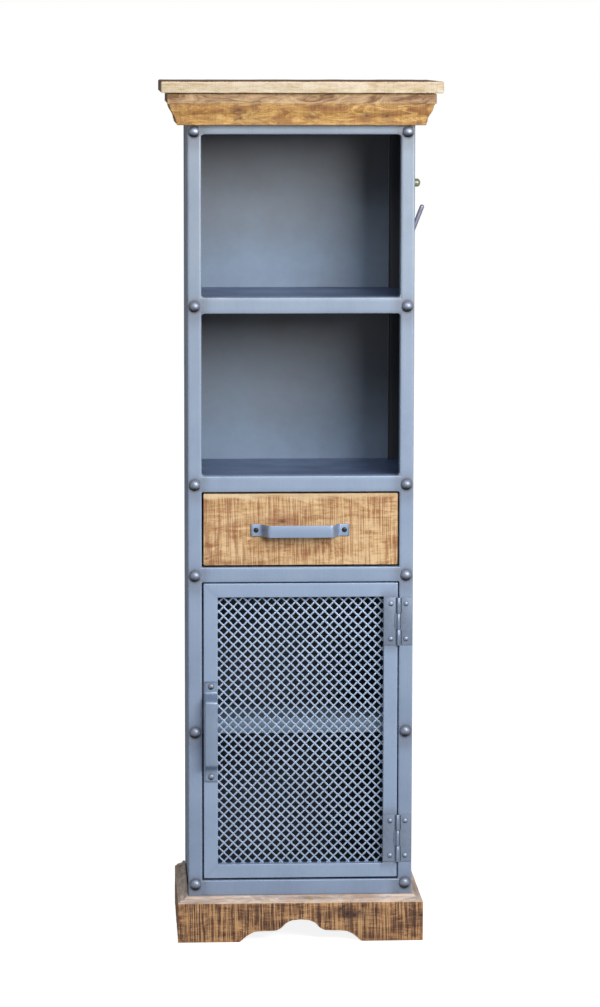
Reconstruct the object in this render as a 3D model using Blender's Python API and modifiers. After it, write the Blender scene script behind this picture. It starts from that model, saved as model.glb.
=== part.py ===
"""A tall narrow cabinet: a welded steel frame with two open bays, a drawer with a wooden front and a
cupboard behind a mesh door, standing inside a wooden plinth and carrying a wooden crown.

Metres, +Z up, the front faces -Y. The origin is on the floor, under the middle of the cabinet."""

import math

import bmesh
import bpy
from mathutils import Matrix, Vector

# ---- Driving dimensions -------------------------------------------------------------------------

HEIGHT = 1.600
BODY_WIDTH = 0.418
BODY_DEPTH = 0.300
TOP_OVERHANG = 0.048  # of the top board, in front and at the sides
REAR_OVERHANG = 0.002  # of the top board, the crown and the plinth, behind the steel
GAP = 0.0003  # between pieces that touch

TUBE = 0.026  # side of the square posts, and depth of the rails
TUBE_WALL = 0.002
TUBE_CORNER = 0.0028
RAILS = {  # bottom and top of each
    "rail_top": (1.5030, 1.5310),
    "rail_shelf": (1.1750, 1.2050),
    "rail_deck": (0.8450, 0.8750),
    "rail_drawer": (0.6767, 0.7050),
    "rail_bottom": (0.0840, 0.1140),
}

PANEL = 0.0012  # sheet of the side and back panels
PANEL_RECESS = 0.002  # of the side panels, from the posts' outer faces
SIDE_PANEL_BOTTOM = 0.050
BACK_PANEL_BOTTOM = 0.086
BACK_INSET = 0.0075  # of the back panel, from the posts' rear faces
SHELF = 0.0015  # sheet of the shelves and floors
CUPBOARD_SHELF_TOP = 0.4150
CUPBOARD_SHELF_FRONT = 0.034  # behind the front plane
CUPBOARD_SHELF_LIP = 0.028

TOP_THICKNESS = 0.022
CROWN_BOTTOM = 1.5200
PLINTH_OVERHANG = 0.0206
PLINTH_TOP = 0.0855
PLINTH_BACK = 0.020  # thickness of the plinth's rear board

RIVET_HEAD = (0.0103, 0.0072)  # radius and height
RIVET_SHANK = (0.0040, 0.0080)  # radius and length
RIVET_LEVELS = (1.5075, 1.1880, 0.8580, 0.6885, 0.3945, 0.1060)

DRAWER_BOTTOM = 0.7085
DRAWER_TOP = 0.8420
DRAWER_HALF_WIDTH = 0.180
DRAWER_THICKNESS = 0.020
TRAY_HALF_WIDTH = 0.179
TRAY_BOTTOM = 0.7105
TRAY_TOP = 0.8150
TRAY_LENGTH = 0.248
TRAY_SHEET = 0.0012
RUNNER_SHEET = 0.0015
RUNNER_BOTTOM = 0.7083
RUNNER_HEIGHT = 0.022
RUNNER_REACH = 0.017

DOOR_LEFT = -0.180
DOOR_RIGHT = 0.181
DOOR_BOTTOM = 0.118
DOOR_TOP = 0.6745
DOOR_DEPTH = 0.016
DOOR_MEMBER = 0.026  # width of its stiles and rails
DOOR_SHEET = 0.0015

MESH_THICKNESS = 0.0015
MESH_PITCH = 0.0254  # twice that of the finest mesh
MESH_STRAND = 0.0072
MESH_LAP = 0.006  # of the mesh over the back of the door frame
MESH_SMALLEST_HOLE = 2e-5  # area

HINGE_LEVELS = {"hinge_upper": 0.6025, "hinge_lower": 0.1920}
HINGE_HEIGHT = 0.0895
HINGE_SHEET = 0.0018
HINGE_BARREL = 0.0035
HINGE_PIN = 0.0018
HINGE_AXIS_X = 0.1822
HINGE_DOOR_LEAF = 0.0278
HINGE_POST_LEAF = 0.0256
HINGE_RIVET_AT = (0.0141, 0.0330)  # from the axis, and above and below the middle
HINGE_RIVET = (0.0049, 0.0033)  # radius and height

HANDLE_WIDTH = 0.0225
HANDLE_SHEET = 0.0025
HANDLE_GRIP = 0.1205  # length of its straight middle
HANDLE_LEG = 0.0122  # length of each slanted leg, seen from the front
HANDLE_STAND = 0.0285  # of the grip's front
DRAWER_HANDLE = (-0.0010, 0.7745, 0.1820)  # middle across, middle up, length
DOOR_HANDLE = (-0.1665, 0.3965, 0.1890)
HANDLE_SCREW_IN = 0.0092  # of the screws, from the strap's ends
HANDLE_SCREW_HEAD = (0.0048, 0.0018)
HANDLE_RIVET_HEAD = (0.0058, 0.0034)
HANDLE_SHANK = 0.0020  # radius

CATCH_SIZE = (0.016, 0.017, 0.034)
CATCH_Z = 0.6300

HOOK_BEHIND_FRONT = 0.150
HOOK_PLATE = 0.0030
HOOK_PLATE_WIDTH = 0.0240
HOOK_PLATE_SPAN = (1.2760, 1.4320)
HOOK_ROD = 0.0042  # radius
HOOK_ROD_LENGTH = 0.0735
HOOK_TIP = (0.0275, 1.3645)  # middle of the rod's tip: beyond the side panel, and its height
HOOK_LEAN = math.radians(22)
PEG_Z = 1.4095
PEG_RADIUS = 0.0076
PEG_REACH = 0.0205  # beyond the plate
PEG_SHANK = (0.0025, 0.0026)

# ---- Places worked out from them ----------------------------------------------------------------

FRONT = TOP_OVERHANG - (TOP_OVERHANG + BODY_DEPTH + REAR_OVERHANG) / 2  # plane of the posts' fronts
REAR = FRONT + BODY_DEPTH
WOOD_REAR = REAR + REAR_OVERHANG
SIDE = BODY_WIDTH / 2
INNER = SIDE - TUBE
POST_TOP = HEIGHT - TOP_THICKNESS - GAP
CROWN_TOP = POST_TOP
PANEL_OUTER = SIDE - PANEL_RECESS
PANEL_INNER = PANEL_OUTER - PANEL
BACK_FACE = REAR - BACK_INSET - PANEL
HINGE_AXIS_Y = FRONT - GAP - HINGE_BARREL

# Turns that lay a flat outline's own X and Y along two directions of the cabinet.
FACING_FRONT = (math.pi / 2, 0, 0)  # X to the right, Y up
SECTION_FRONT = (math.pi / 2, 0, -math.pi / 2)  # X forwards, Y up
SECTION_LEFT = (math.pi / 2, 0, math.pi)  # X to the left, Y up
SECTION_RIGHT = (math.pi / 2, 0, 0)  # X to the right, Y up
SECTION_REARWARDS = (math.pi / 2, 0, math.pi / 2)  # X to the rear, Y up
LYING = (0, 0, 0)

# Turns that point a turned piece's own Z out of the cabinet.
OUT_FRONT = (math.pi / 2, 0, 0)
OUT_RIGHT = (0, math.pi / 2, 0)


# ---- Scene --------------------------------------------------------------------------------------


def clear_scene():
    for obj in list(bpy.data.objects):
        bpy.data.objects.remove(obj, do_unlink=True)


def new_collection(name):
    collection = bpy.data.collections.new(name)
    bpy.context.scene.collection.children.link(collection)
    return collection


def new_material(name, colour, roughness, metallic):
    material = bpy.data.materials.new(name)
    material.use_nodes = True
    shader = material.node_tree.nodes["Principled BSDF"]
    shader.inputs["Base Color"].default_value = (*colour, 1.0)
    shader.inputs["Roughness"].default_value = roughness
    shader.inputs["Metallic"].default_value = metallic
    material.diffuse_color = (*colour, 1.0)
    return material


def add_object(name, data, material, location=(0, 0, 0), rotation=(0, 0, 0)):
    obj = bpy.data.objects.new(name, data)
    obj.location = location
    obj.rotation_euler = rotation
    CABINET.objects.link(obj)
    if material is not None:
        data.materials.append(material)
    return obj


def as_cutter(obj):
    """Moves an object to the cutters, which are neither rendered nor built."""
    CABINET.objects.unlink(obj)
    CUTTERS.objects.link(obj)
    obj.hide_render = True
    obj.display_type = "WIRE"
    return obj


def pivot(name, location, pieces):
    """An empty at a joint, with the pieces that move on it parented where they stand."""
    empty = add_object(name, None, None, location)
    for piece in pieces:
        piece.parent = empty
        piece.matrix_parent_inverse = Matrix.Translation(-Vector(location))
    return empty


# ---- Shapes -------------------------------------------------------------------------------------


def box(name, low, high, material, rounding=0.0):
    """A block between two corners, with its origin at its middle."""
    size = Vector(high) - Vector(low)
    bm = bmesh.new()
    bmesh.ops.create_cube(bm, size=1.0)
    bmesh.ops.scale(bm, vec=size, verts=bm.verts)
    mesh = bpy.data.meshes.new(name)
    bm.to_mesh(mesh)
    bm.free()
    obj = add_object(name, mesh, material, (Vector(low) + Vector(high)) / 2)
    if rounding:
        modifier = obj.modifiers.new("Edges", "BEVEL")
        modifier.width = rounding
        modifier.segments = 1
    return obj


def rectangle(left, right, bottom, top):
    return [(left, bottom), (right, bottom), (right, top), (left, top)]


def rounded_rectangle(width, height, radius):
    """A rectangle about the origin with each corner rounded in two steps."""
    points = []
    for turn, side_x, side_y in ((0, 1, 1), (90, -1, 1), (180, -1, -1), (270, 1, -1)):
        middle_x = side_x * (width / 2 - radius)
        middle_y = side_y * (height / 2 - radius)
        for step in (0, 45, 90):
            angle = math.radians(turn + step)
            points.append((middle_x + radius * math.cos(angle), middle_y + radius * math.sin(angle)))
    return points


def extrusion(name, outlines, length, material, location, rotation):
    """Flat outlines, the inner ones being holes, drawn out to a length about the object's XY plane."""
    curve = bpy.data.curves.new(name, "CURVE")
    curve.dimensions = "2D"
    curve.fill_mode = "BOTH"
    curve.extrude = length / 2
    for outline in outlines:
        spline = curve.splines.new("POLY")
        spline.points.add(len(outline) - 1)
        for point, (x, y) in zip(spline.points, outline):
            point.co = (x, y, 0, 1)
        spline.use_cyclic_u = True
    return to_mesh(add_object(name, curve, material, location, rotation))


def to_mesh(obj):
    """The same object with its curve or modifiers turned into one welded mesh, ready to be cut."""
    bpy.context.view_layer.update()
    graph = bpy.context.evaluated_depsgraph_get()
    mesh = bpy.data.meshes.new_from_object(obj.evaluated_get(graph))
    bm = bmesh.new()
    bm.from_mesh(mesh)
    bmesh.ops.remove_doubles(bm, verts=bm.verts, dist=1e-6)
    bmesh.ops.recalc_face_normals(bm, faces=bm.faces)
    bm.to_mesh(mesh)
    bm.free()
    name = obj.name
    place = obj.matrix_world.copy()
    bpy.data.objects.remove(obj)
    mesh.name = name
    meshed = bpy.data.objects.new(name, mesh)
    meshed.matrix_world = place
    CABINET.objects.link(meshed)
    return meshed


def turned(name, profile, steps, material, location, rotation):
    """A profile of radius and height, both its ends on the axis, turned round the object's Z."""
    mesh = bpy.data.meshes.new(name)
    points = [(radius, 0, height) for radius, height in profile]
    mesh.from_pydata(points, [(i, i + 1) for i in range(len(points) - 1)], [])
    obj = add_object(name, mesh, material, location, rotation)
    modifier = obj.modifiers.new("Turn", "SCREW")
    modifier.axis = "Z"
    modifier.steps = steps
    modifier.render_steps = steps
    modifier.use_merge_vertices = True
    modifier.merge_threshold = 0.00005
    modifier.use_smooth_shade = True
    return to_mesh(obj)


def dome(radius, height, steps=4):
    """Profile points from a domed head's rim to its top."""
    angles = [math.pi / 2 * step / steps for step in range(steps + 1)]
    points = [(radius * math.cos(angle), height * math.sin(angle)) for angle in angles]
    points[-1] = (0, height)
    return points


def fastener(name, head, shank, material, location, rotation, steps=16):
    """A domed head on a plain shank; the head's flat underside is at the object's origin."""
    shank_radius, shank_length = shank
    profile = [(0, -shank_length), (shank_radius, -shank_length), (shank_radius, 0)]
    return turned(name, profile + dome(*head), steps, material, location, rotation)


def boolean(obj, other, operation="DIFFERENCE"):
    modifier = obj.modifiers.new(operation.title(), "BOOLEAN")
    modifier.operation = operation
    modifier.object = other
    return obj


def drill(obj, name, places, radius, length, rotation):
    """Round holes through places in the cabinet, along the direction a turned piece would point."""
    disc = [
        (radius * math.cos(math.tau * step / 12), radius * math.sin(math.tau * step / 12))
        for step in range(12)
    ]
    for number, place in enumerate(places):
        cutter = extrusion(f"{name}_{number}", [disc], length, None, place, rotation)
        boolean(obj, as_cutter(cutter))
    return obj


def saw(obj, point, normal):
    """Cuts away the side that normal points to, through a place in the cabinet, and closes the cut."""
    inverse = obj.matrix_world.inverted()
    bm = bmesh.new()
    bm.from_mesh(obj.data)
    cut = bmesh.ops.bisect_plane(
        bm,
        geom=bm.verts[:] + bm.edges[:] + bm.faces[:],
        plane_co=inverse @ Vector(point),
        plane_no=inverse.to_3x3() @ Vector(normal),
        clear_outer=True,
    )
    edges = [item for item in cut["geom_cut"] if isinstance(item, bmesh.types.BMEdge)]
    bmesh.ops.contextual_create(bm, geom=edges)
    bm.to_mesh(obj.data)
    bm.free()
    return obj


# ---- Wooden parts -------------------------------------------------------------------------------


def crown_profile():
    """Forward reach and height: a small fillet, a cyma rising outwards, a step and a flat band."""
    points = [(GAP, CROWN_BOTTOM), (0.0178, CROWN_BOTTOM), (0.0190, 1.5215), (0.0195, 1.5250)]
    for step in range(9):
        t = step / 8
        reach = 0.0205 + 0.0110 * (t - 0.75 * math.sin(math.tau * t) / math.tau)
        points.append((reach, 1.5268 + 0.0294 * t))
    points += [(0.0328, 1.5566), (0.0328, 1.5588), (0.0360, 1.5592), (0.0360, 1.5762)]
    return points + [(0.0345, CROWN_TOP), (GAP, CROWN_TOP)]


def plinth_profile():
    """Forward reach and height: a flat face, then two small steps leaning back to the frame."""
    points = [(GAP, 0), (PLINTH_OVERHANG, 0), (PLINTH_OVERHANG, 0.0742), (0.0192, 0.0762)]
    points += [(0.0168, 0.0766), (0.0165, 0.0784), (0.0125, 0.0803), (0.0085, 0.0811)]
    return points + [(0.0062, 0.0830), (0.0048, PLINTH_TOP), (GAP, PLINTH_TOP)]


def mitred_moulding(name, profile, material):
    """A front run and two side runs of one moulding, mitred together at the front corners."""
    reach = 0.04
    front = extrusion(f"{name}_front", [profile], 2 * (SIDE + reach), material, (0, FRONT, 0), SECTION_FRONT)
    length = WOOD_REAR - FRONT + reach
    middle = WOOD_REAR - length / 2
    left = extrusion(f"{name}_left", [profile], length, material, (-SIDE, middle, 0), SECTION_LEFT)
    right = extrusion(f"{name}_right", [profile], length, material, (SIDE, middle, 0), SECTION_RIGHT)
    for side, run in ((-1, left), (1, right)):
        across = Vector((side, 1, 0)).normalized()  # out of the front run, across the mitre
        corner = Vector((side * SIDE, FRONT, 0))
        saw(front, corner - across * GAP / 2, across)
        saw(run, corner + across * GAP / 2, -across)
    return front, left, right


def plinth_cut_out():
    """The scalloped gap under the front: feet, two shoulders and a raised middle."""
    half = [(0.1135, 0), (0.1080, 0.0055), (0.0990, 0.0130), (0.0870, 0.0192), (0.0740, 0.0205)]
    half += [(0.0600, 0.0206), (0.0450, 0.0214), (0.0350, 0.0268), (0.0280, 0.0350), (0.0170, 0.0406)]
    ends = [(0.1135, -0.01)]
    right = ends + half
    left = [(-x, z) for x, z in reversed(right)]
    return right + [(0, 0.0423)] + left


def make_wood():
    box(
        "top_board",
        (-SIDE - TOP_OVERHANG, FRONT - TOP_OVERHANG, HEIGHT - TOP_THICKNESS),
        (SIDE + TOP_OVERHANG, WOOD_REAR, HEIGHT),
        TOP_WOOD,
        rounding=0.0018,
    )
    mitred_moulding("crown", crown_profile(), CROWN_WOOD)
    front, left, right = mitred_moulding("plinth", plinth_profile(), PLINTH_WOOD)
    cutter = extrusion("plinth_gap", [plinth_cut_out()], 0.08, None, (0, FRONT - 0.01, 0), FACING_FRONT)
    boolean(front, as_cutter(cutter))
    box(
        "plinth_back",
        (-INNER + GAP, REAR - PLINTH_BACK, 0),
        (INNER - GAP, REAR, PLINTH_TOP),
        PLINTH_WOOD,
        rounding=0.001,
    )


# ---- Steel frame and panels ---------------------------------------------------------------------


def tube(name, height, length, location, rotation):
    outer = rounded_rectangle(TUBE, height, TUBE_CORNER)
    inner = rounded_rectangle(TUBE - 2 * TUBE_WALL, height - 2 * TUBE_WALL, TUBE_CORNER - 0.0016)
    return extrusion(name, [outer, inner], length, STEEL, location, rotation)


def make_frame():
    middle_x = SIDE - TUBE / 2
    front_y = FRONT + TUBE / 2
    rear_y = REAR - TUBE / 2
    for side, side_name in ((-1, "left"), (1, "right")):
        x = side * middle_x
        front = tube(f"post_front_{side_name}", TUBE, POST_TOP, (x, front_y, POST_TOP / 2), LYING)
        holes = [(x, FRONT, z) for z in RIVET_LEVELS]
        drill(front, f"post_holes_{side_name}", holes, RIVET_SHANK[0] + GAP, 0.016, OUT_FRONT)
        tube(f"post_back_{side_name}", TUBE, POST_TOP, (x, rear_y, POST_TOP / 2), LYING)
        for number, z in enumerate(RIVET_LEVELS, start=1):
            name = f"rivet_{side_name}_{number}"
            fastener(name, RIVET_HEAD, RIVET_SHANK, STEEL, (x, FRONT - GAP, z), OUT_FRONT)
    for name, (bottom, top) in RAILS.items():
        place = (0, front_y, (bottom + top) / 2)
        tube(name, top - bottom, 2 * (INNER - GAP), place, SECTION_REARWARDS)


def shelf_outline():
    """A shelf's plan: it fills the space between the side panels, and is notched round the rear posts."""
    front = FRONT + TUBE + GAP
    notch = REAR - TUBE - GAP
    rear = BACK_FACE - GAP
    wide = PANEL_INNER - GAP
    narrow = INNER - GAP
    right = [(wide, front), (wide, notch), (narrow, notch), (narrow, rear)]
    return right + [(-x, y) for x, y in reversed(right)]


def make_panels():
    for side, name in ((-1, "side_panel_left"), (1, "side_panel_right")):
        middle = Vector((side * (PANEL_OUTER + PANEL_INNER) / 2, (FRONT + REAR) / 2, 0))
        half = Vector((PANEL / 2, BODY_DEPTH / 2 - TUBE - GAP, 0))
        low = middle - half + Vector((0, 0, SIDE_PANEL_BOTTOM))
        box(name, low, middle + half + Vector((0, 0, POST_TOP)), STEEL)
    box(
        "back_panel",
        (-INNER + GAP, BACK_FACE, BACK_PANEL_BOTTOM),
        (INNER - GAP, BACK_FACE + PANEL, POST_TOP),
        STEEL,
    )
    levels = {
        "ceiling_sheet": RAILS["rail_top"][0] + SHELF,
        "upper_shelf": RAILS["rail_shelf"][1],
        "display_floor": RAILS["rail_deck"][1],
        "drawer_bay_floor": RAILS["rail_drawer"][1],
        "cupboard_floor": RAILS["rail_bottom"][1],
    }
    for name, top in levels.items():
        extrusion(name, [shelf_outline()], SHELF, STEEL, (0, 0, top - SHELF / 2), LYING)
    make_cupboard_shelf()


def make_cupboard_shelf():
    """A shelf folded down along its front, cut away round the rear posts."""
    front = FRONT + CUPBOARD_SHELF_FRONT
    rear = BACK_FACE - GAP
    top = CUPBOARD_SHELF_TOP
    fold = [(front, top - CUPBOARD_SHELF_LIP), (front + SHELF, top - CUPBOARD_SHELF_LIP)]
    fold += [(front + SHELF, top - SHELF), (rear, top - SHELF), (rear, top), (front, top)]
    place = (0, 0, 0)
    width = 2 * (PANEL_INNER - GAP)
    shelf = extrusion("cupboard_shelf", [fold], width, STEEL, place, SECTION_REARWARDS)
    for side in (-1, 1):
        middle = Vector((side * (SIDE - TUBE / 2), REAR, top))
        half = Vector((TUBE / 2 + GAP, TUBE + GAP, 0.02))
        notch = box(f"shelf_notch_{side + 1}", middle - half, middle + half, None)
        boolean(shelf, as_cutter(notch))


# ---- Strap handle -------------------------------------------------------------------------------


def strap_outline(length):
    """Along the strap and away from the surface: a flange, a slanted leg and the grip, each way."""
    end = length / 2
    grip = HANDLE_GRIP / 2
    outer_foot = grip + HANDLE_LEG
    inner_foot = outer_foot - 0.0015
    half = [(end, 0), (end, HANDLE_SHEET), (outer_foot, HANDLE_SHEET), (grip, HANDLE_STAND)]
    front = half + [(-x, z) for x, z in reversed(half)]
    back = [(-inner_foot, 0), (-grip + 0.0017, HANDLE_STAND - HANDLE_SHEET)]
    return front + back + [(-x, z) for x, z in reversed(back)]


# ---- Drawer -------------------------------------------------------------------------------------


def make_drawer():
    front = box(
        "drawer_front",
        (-DRAWER_HALF_WIDTH, FRONT, DRAWER_BOTTOM),
        (DRAWER_HALF_WIDTH, FRONT + DRAWER_THICKNESS, DRAWER_TOP),
        DRAWER_WOOD,
        rounding=0.0012,
    )
    tray = make_tray()
    x, z, length = DRAWER_HANDLE
    place = (x, FRONT - GAP, z)
    turn = (0, 0, math.pi)  # the strap stands off the front, with its width upright
    handle = extrusion("drawer_handle", [strap_outline(length)], HANDLE_WIDTH, HANDLE_STEEL, place, turn)
    at = length / 2 - HANDLE_SCREW_IN
    spots = [(x - at, FRONT, z), (x + at, FRONT, z)]
    drill(handle, "drawer_strap_holes", spots, HANDLE_SHANK + GAP, 0.02, OUT_FRONT)
    drill(front, "drawer_pilot_holes", spots, HANDLE_SHANK + GAP, 0.028, OUT_FRONT)
    screws = []
    for name, (screw_x, _, _) in zip(("left", "right"), spots):
        head_at = (screw_x, FRONT - 2 * GAP - HANDLE_SHEET, z)
        shank = (HANDLE_SHANK, 0.0140)
        full_name = f"drawer_handle_screw_{name}"
        screws.append(fastener(full_name, HANDLE_SCREW_HEAD, shank, DARK_STEEL, head_at, OUT_FRONT))
    pivot("drawer_slide", (0, FRONT, DRAWER_BOTTOM), [front, tray, handle, *screws])
    make_runners()


def make_tray():
    """A folded sheet tray with no lid, fixed behind the drawer front."""
    rear_of_front = FRONT + DRAWER_THICKNESS + GAP
    low = Vector((-TRAY_HALF_WIDTH, rear_of_front, TRAY_BOTTOM))
    high = Vector((TRAY_HALF_WIDTH, rear_of_front + TRAY_LENGTH, TRAY_TOP))
    tray = box("drawer_tray", low, high, STEEL)
    bm = bmesh.new()
    bm.from_mesh(tray.data)
    lid = [face for face in bm.faces if face.normal.z > 0.5]
    bmesh.ops.delete(bm, geom=lid, context="FACES")
    bm.to_mesh(tray.data)
    bm.free()
    modifier = tray.modifiers.new("Sheet", "SOLIDIFY")
    modifier.thickness = TRAY_SHEET
    modifier.offset = -1
    modifier.use_even_offset = True
    return tray


def make_runners():
    """Two angle runners on the posts, which carry the tray's bottom edges."""
    outer = INNER - GAP
    bottom = RUNNER_BOTTOM
    section = [(outer, bottom), (outer, bottom + RUNNER_HEIGHT), (outer - RUNNER_SHEET, bottom + RUNNER_HEIGHT)]
    section += [(outer - RUNNER_SHEET, bottom + RUNNER_SHEET)]
    section += [(outer - RUNNER_REACH, bottom + RUNNER_SHEET), (outer - RUNNER_REACH, bottom)]
    start = FRONT + DRAWER_THICKNESS + 0.0015
    end = BACK_FACE - 0.002
    place = (0, (start + end) / 2, 0)
    mirrored = [(-x, z) for x, z in section]
    extrusion("drawer_runner_right", [section], end - start, STEEL, place, FACING_FRONT)
    extrusion("drawer_runner_left", [mirrored], end - start, STEEL, place, FACING_FRONT)


# ---- Door ---------------------------------------------------------------------------------------


def door_outline(inset):
    return rectangle(DOOR_LEFT + inset, DOOR_RIGHT - inset, DOOR_BOTTOM + inset, DOOR_TOP - inset)


def make_door_frame():
    """One pressed ring: a flat face with a wall turned back along its outer and inner edges."""
    place = (0, FRONT + DOOR_DEPTH / 2, 0)
    ring = [door_outline(0), door_outline(DOOR_MEMBER)]
    frame = extrusion("door_frame", ring, DOOR_DEPTH, STEEL, place, FACING_FRONT)
    channel = [door_outline(DOOR_SHEET), door_outline(DOOR_MEMBER - DOOR_SHEET)]
    behind_face = (0, FRONT + DOOR_SHEET + DOOR_DEPTH / 2, 0)
    cutter = extrusion("door_channel", channel, DOOR_DEPTH, None, behind_face, FACING_FRONT)
    return boolean(frame, as_cutter(cutter))


def clipped(points, axis, limit, sign):
    """The part of a convex outline on one side of a limit: below it for sign 1, above it for -1."""
    kept = []
    for here, there in zip(points, points[1:] + points[:1]):
        start = sign * (here[axis] - limit)
        end = sign * (there[axis] - limit)
        if start <= 0:
            kept.append(here)
        if start * end < 0:
            share = start / (start - end)
            kept.append(tuple(a + (b - a) * share for a, b in zip(here, there)))
    return kept


def area(points):
    pairs = zip(points, points[1:] + points[:1])
    return abs(sum(a[0] * b[1] - b[0] * a[1] for a, b in pairs)) / 2


def mesh_holes():
    """Diamonds on a slanted square grid, cut off where they run past the door's opening."""
    edge = DOOR_MEMBER - MESH_LAP / 3
    left, right = DOOR_LEFT + edge, DOOR_RIGHT - edge
    bottom, top = DOOR_BOTTOM + edge, DOOR_TOP - edge
    middle_x = (left + right) / 2
    middle_z = (bottom + top) / 2
    step = MESH_PITCH / math.sqrt(2)  # between neighbouring columns, and between neighbouring rows
    reach = (MESH_PITCH - MESH_STRAND) / math.sqrt(2)
    holes = []
    for column in range(-10, 11):
        for row in range(-17, 18):
            if (column + row) % 2:
                continue
            x = middle_x + column * step
            z = middle_z + row * step
            hole = [(x + reach, z), (x, z + reach), (x - reach, z), (x, z - reach)]
            for axis, limit, sign in ((0, right, 1), (0, left, -1), (1, top, 1), (1, bottom, -1)):
                hole = clipped(hole, axis, limit, sign)
            if len(hole) > 2 and area(hole) > MESH_SMALLEST_HOLE:
                holes.append(hole)
    return holes


def make_door():
    frame = make_door_frame()
    sheet = [door_outline(DOOR_MEMBER - MESH_LAP)] + mesh_holes()
    place = (0, FRONT + DOOR_DEPTH + GAP + MESH_THICKNESS / 2, 0)
    mesh = extrusion("mesh_panel", sheet, MESH_THICKNESS, MESH_STEEL, place, FACING_FRONT)
    x, z, length = DOOR_HANDLE
    turn = Matrix.Rotation(math.pi / 2, 3, "Y") @ Matrix.Rotation(math.pi, 3, "Z")
    angles = turn.to_euler()
    place = (x, FRONT - GAP, z)
    handle = extrusion("door_handle", [strap_outline(length)], HANDLE_WIDTH, HANDLE_STEEL, place, angles)
    at = length / 2 - HANDLE_SCREW_IN
    spots = [(x, FRONT, z + at), (x, FRONT, z - at)]
    drill(handle, "door_strap_holes", spots, HANDLE_SHANK + GAP, 0.02, OUT_FRONT)
    drill(frame, "door_rivet_holes", spots, HANDLE_SHANK + GAP, 0.006, OUT_FRONT)
    pieces = [frame, mesh, handle]
    for name, (_, _, rivet_z) in zip(("top", "bottom"), spots):
        head_at = (x, FRONT - 2 * GAP - HANDLE_SHEET, rivet_z)
        shank = (HANDLE_SHANK, 0.0060)
        full_name = f"door_handle_rivet_{name}"
        pieces.append(fastener(full_name, HANDLE_RIVET_HEAD, shank, STEEL, head_at, OUT_FRONT))
    for name, level in HINGE_LEVELS.items():
        pieces.append(make_leaf(f"{name}_door_leaf", level, -1, HINGE_DOOR_LEAF))
        make_leaf(f"{name}_post_leaf", level, 1, HINGE_POST_LEAF)
        pin = HINGE_HEIGHT / 2 + 0.0015
        profile = [(0, -pin), (HINGE_PIN, -pin), (HINGE_PIN, pin), (0, pin)]
        turned(f"{name}_pin", profile, 12, DARK_STEEL, (HINGE_AXIS_X, HINGE_AXIS_Y, level), LYING)
    pivot("door_axis", (HINGE_AXIS_X, HINGE_AXIS_Y, DOOR_BOTTOM), pieces)
    low = Vector((-INNER + GAP, FRONT + DOOR_DEPTH + 3 * GAP, CATCH_Z))
    box("door_catch", low, low + Vector(CATCH_SIZE), CATCH_PLASTIC, rounding=0.001)


def make_leaf(name, level, side, length):
    """One leaf of a butt hinge, its edge rolled round the pin. The door's has the middle knuckle and
    the post's has the outer two."""
    barrel = HINGE_BARREL
    sheet_front = barrel - HINGE_SHEET
    last = math.pi + math.asin(sheet_front / barrel)
    outline = [(-length, barrel)]
    for step in range(13):  # round the barrel, from the leaf's back to its front
        angle = math.pi / 2 - (math.pi / 2 + last) * step / 12
        outline.append((barrel * math.cos(angle), barrel * math.sin(angle)))
    outline.append((-length, sheet_front))
    bore = HINGE_PIN + GAP
    hole = [
        (bore * math.cos(math.tau * step / 12), bore * math.sin(math.tau * step / 12))
        for step in range(12)
    ]
    if side > 0:
        outline = [(-x, y) for x, y in outline]
        hole = [(-x, y) for x, y in hole]
    place = (HINGE_AXIS_X, HINGE_AXIS_Y, level)
    leaf = extrusion(name, [outline, hole], HINGE_HEIGHT, STEEL, place, LYING)
    third = HINGE_HEIGHT / 6
    end = HINGE_HEIGHT / 2 + 0.001
    if side < 0:
        spans = [(third - GAP, end), (-end, -third + GAP)]
    else:
        spans = [(-third - GAP, third + GAP)]
    for number, (bottom, top) in enumerate(spans):
        corner = barrel + 0.0006
        low = Vector(place) + Vector((-corner, -corner, bottom))
        high = Vector(place) + Vector((corner, corner, top))
        boolean(leaf, as_cutter(box(f"{name}_knuckle_{number}", low, high, None)))
    across, up = HINGE_RIVET_AT
    for number, height in enumerate((level + up, level - up)):
        seat = (HINGE_AXIS_X + side * across, HINGE_AXIS_Y + sheet_front, height)
        head = fastener(f"{name}_rivet_{number}", HINGE_RIVET, (0.003, 0.001), None, seat, OUT_FRONT, 12)
        boolean(leaf, as_cutter(head), "UNION")
    return leaf


# ---- Hook on the right side ---------------------------------------------------------------------


def make_hook():
    """A plate on the side panel with a rod leaning up and outwards, under a domed peg."""
    y = FRONT + HOOK_BEHIND_FRONT
    back = PANEL_OUTER + GAP
    bottom, top = HOOK_PLATE_SPAN
    low = (back, y - HOOK_PLATE_WIDTH / 2, bottom)
    high = (back + HOOK_PLATE, y + HOOK_PLATE_WIDTH / 2, top)
    hook = box("side_hook", low, high, HANDLE_STEEL, rounding=0.0006)
    reach, height = HOOK_TIP
    profile = [(0, -HOOK_ROD_LENGTH), (HOOK_ROD, -HOOK_ROD_LENGTH)] + dome(HOOK_ROD, HOOK_ROD)
    tip = (PANEL_OUTER + reach, y, height)
    rod = turned("side_hook_rod", profile, 16, None, tip, (0, HOOK_LEAN, 0))
    saw(rod, (back + 0.0005, y, height), (-1, 0, 0))
    boolean(hook, as_cutter(rod), "UNION")
    drill(hook, "side_hook_hole", [(back, y, PEG_Z)], PEG_SHANK[0] + GAP, 0.012, OUT_RIGHT)
    face = back + HOOK_PLATE + GAP
    straight = PEG_REACH - PEG_RADIUS * 0.8
    radius, length = PEG_SHANK
    profile = [(0, -length), (radius, -length), (radius, 0), (PEG_RADIUS, 0)]
    profile += [(r, z + straight) for r, z in dome(PEG_RADIUS, PEG_RADIUS * 0.8)]
    turned("side_hook_peg", profile, 16, PEG_METAL, (face, y, PEG_Z), OUT_RIGHT)


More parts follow.
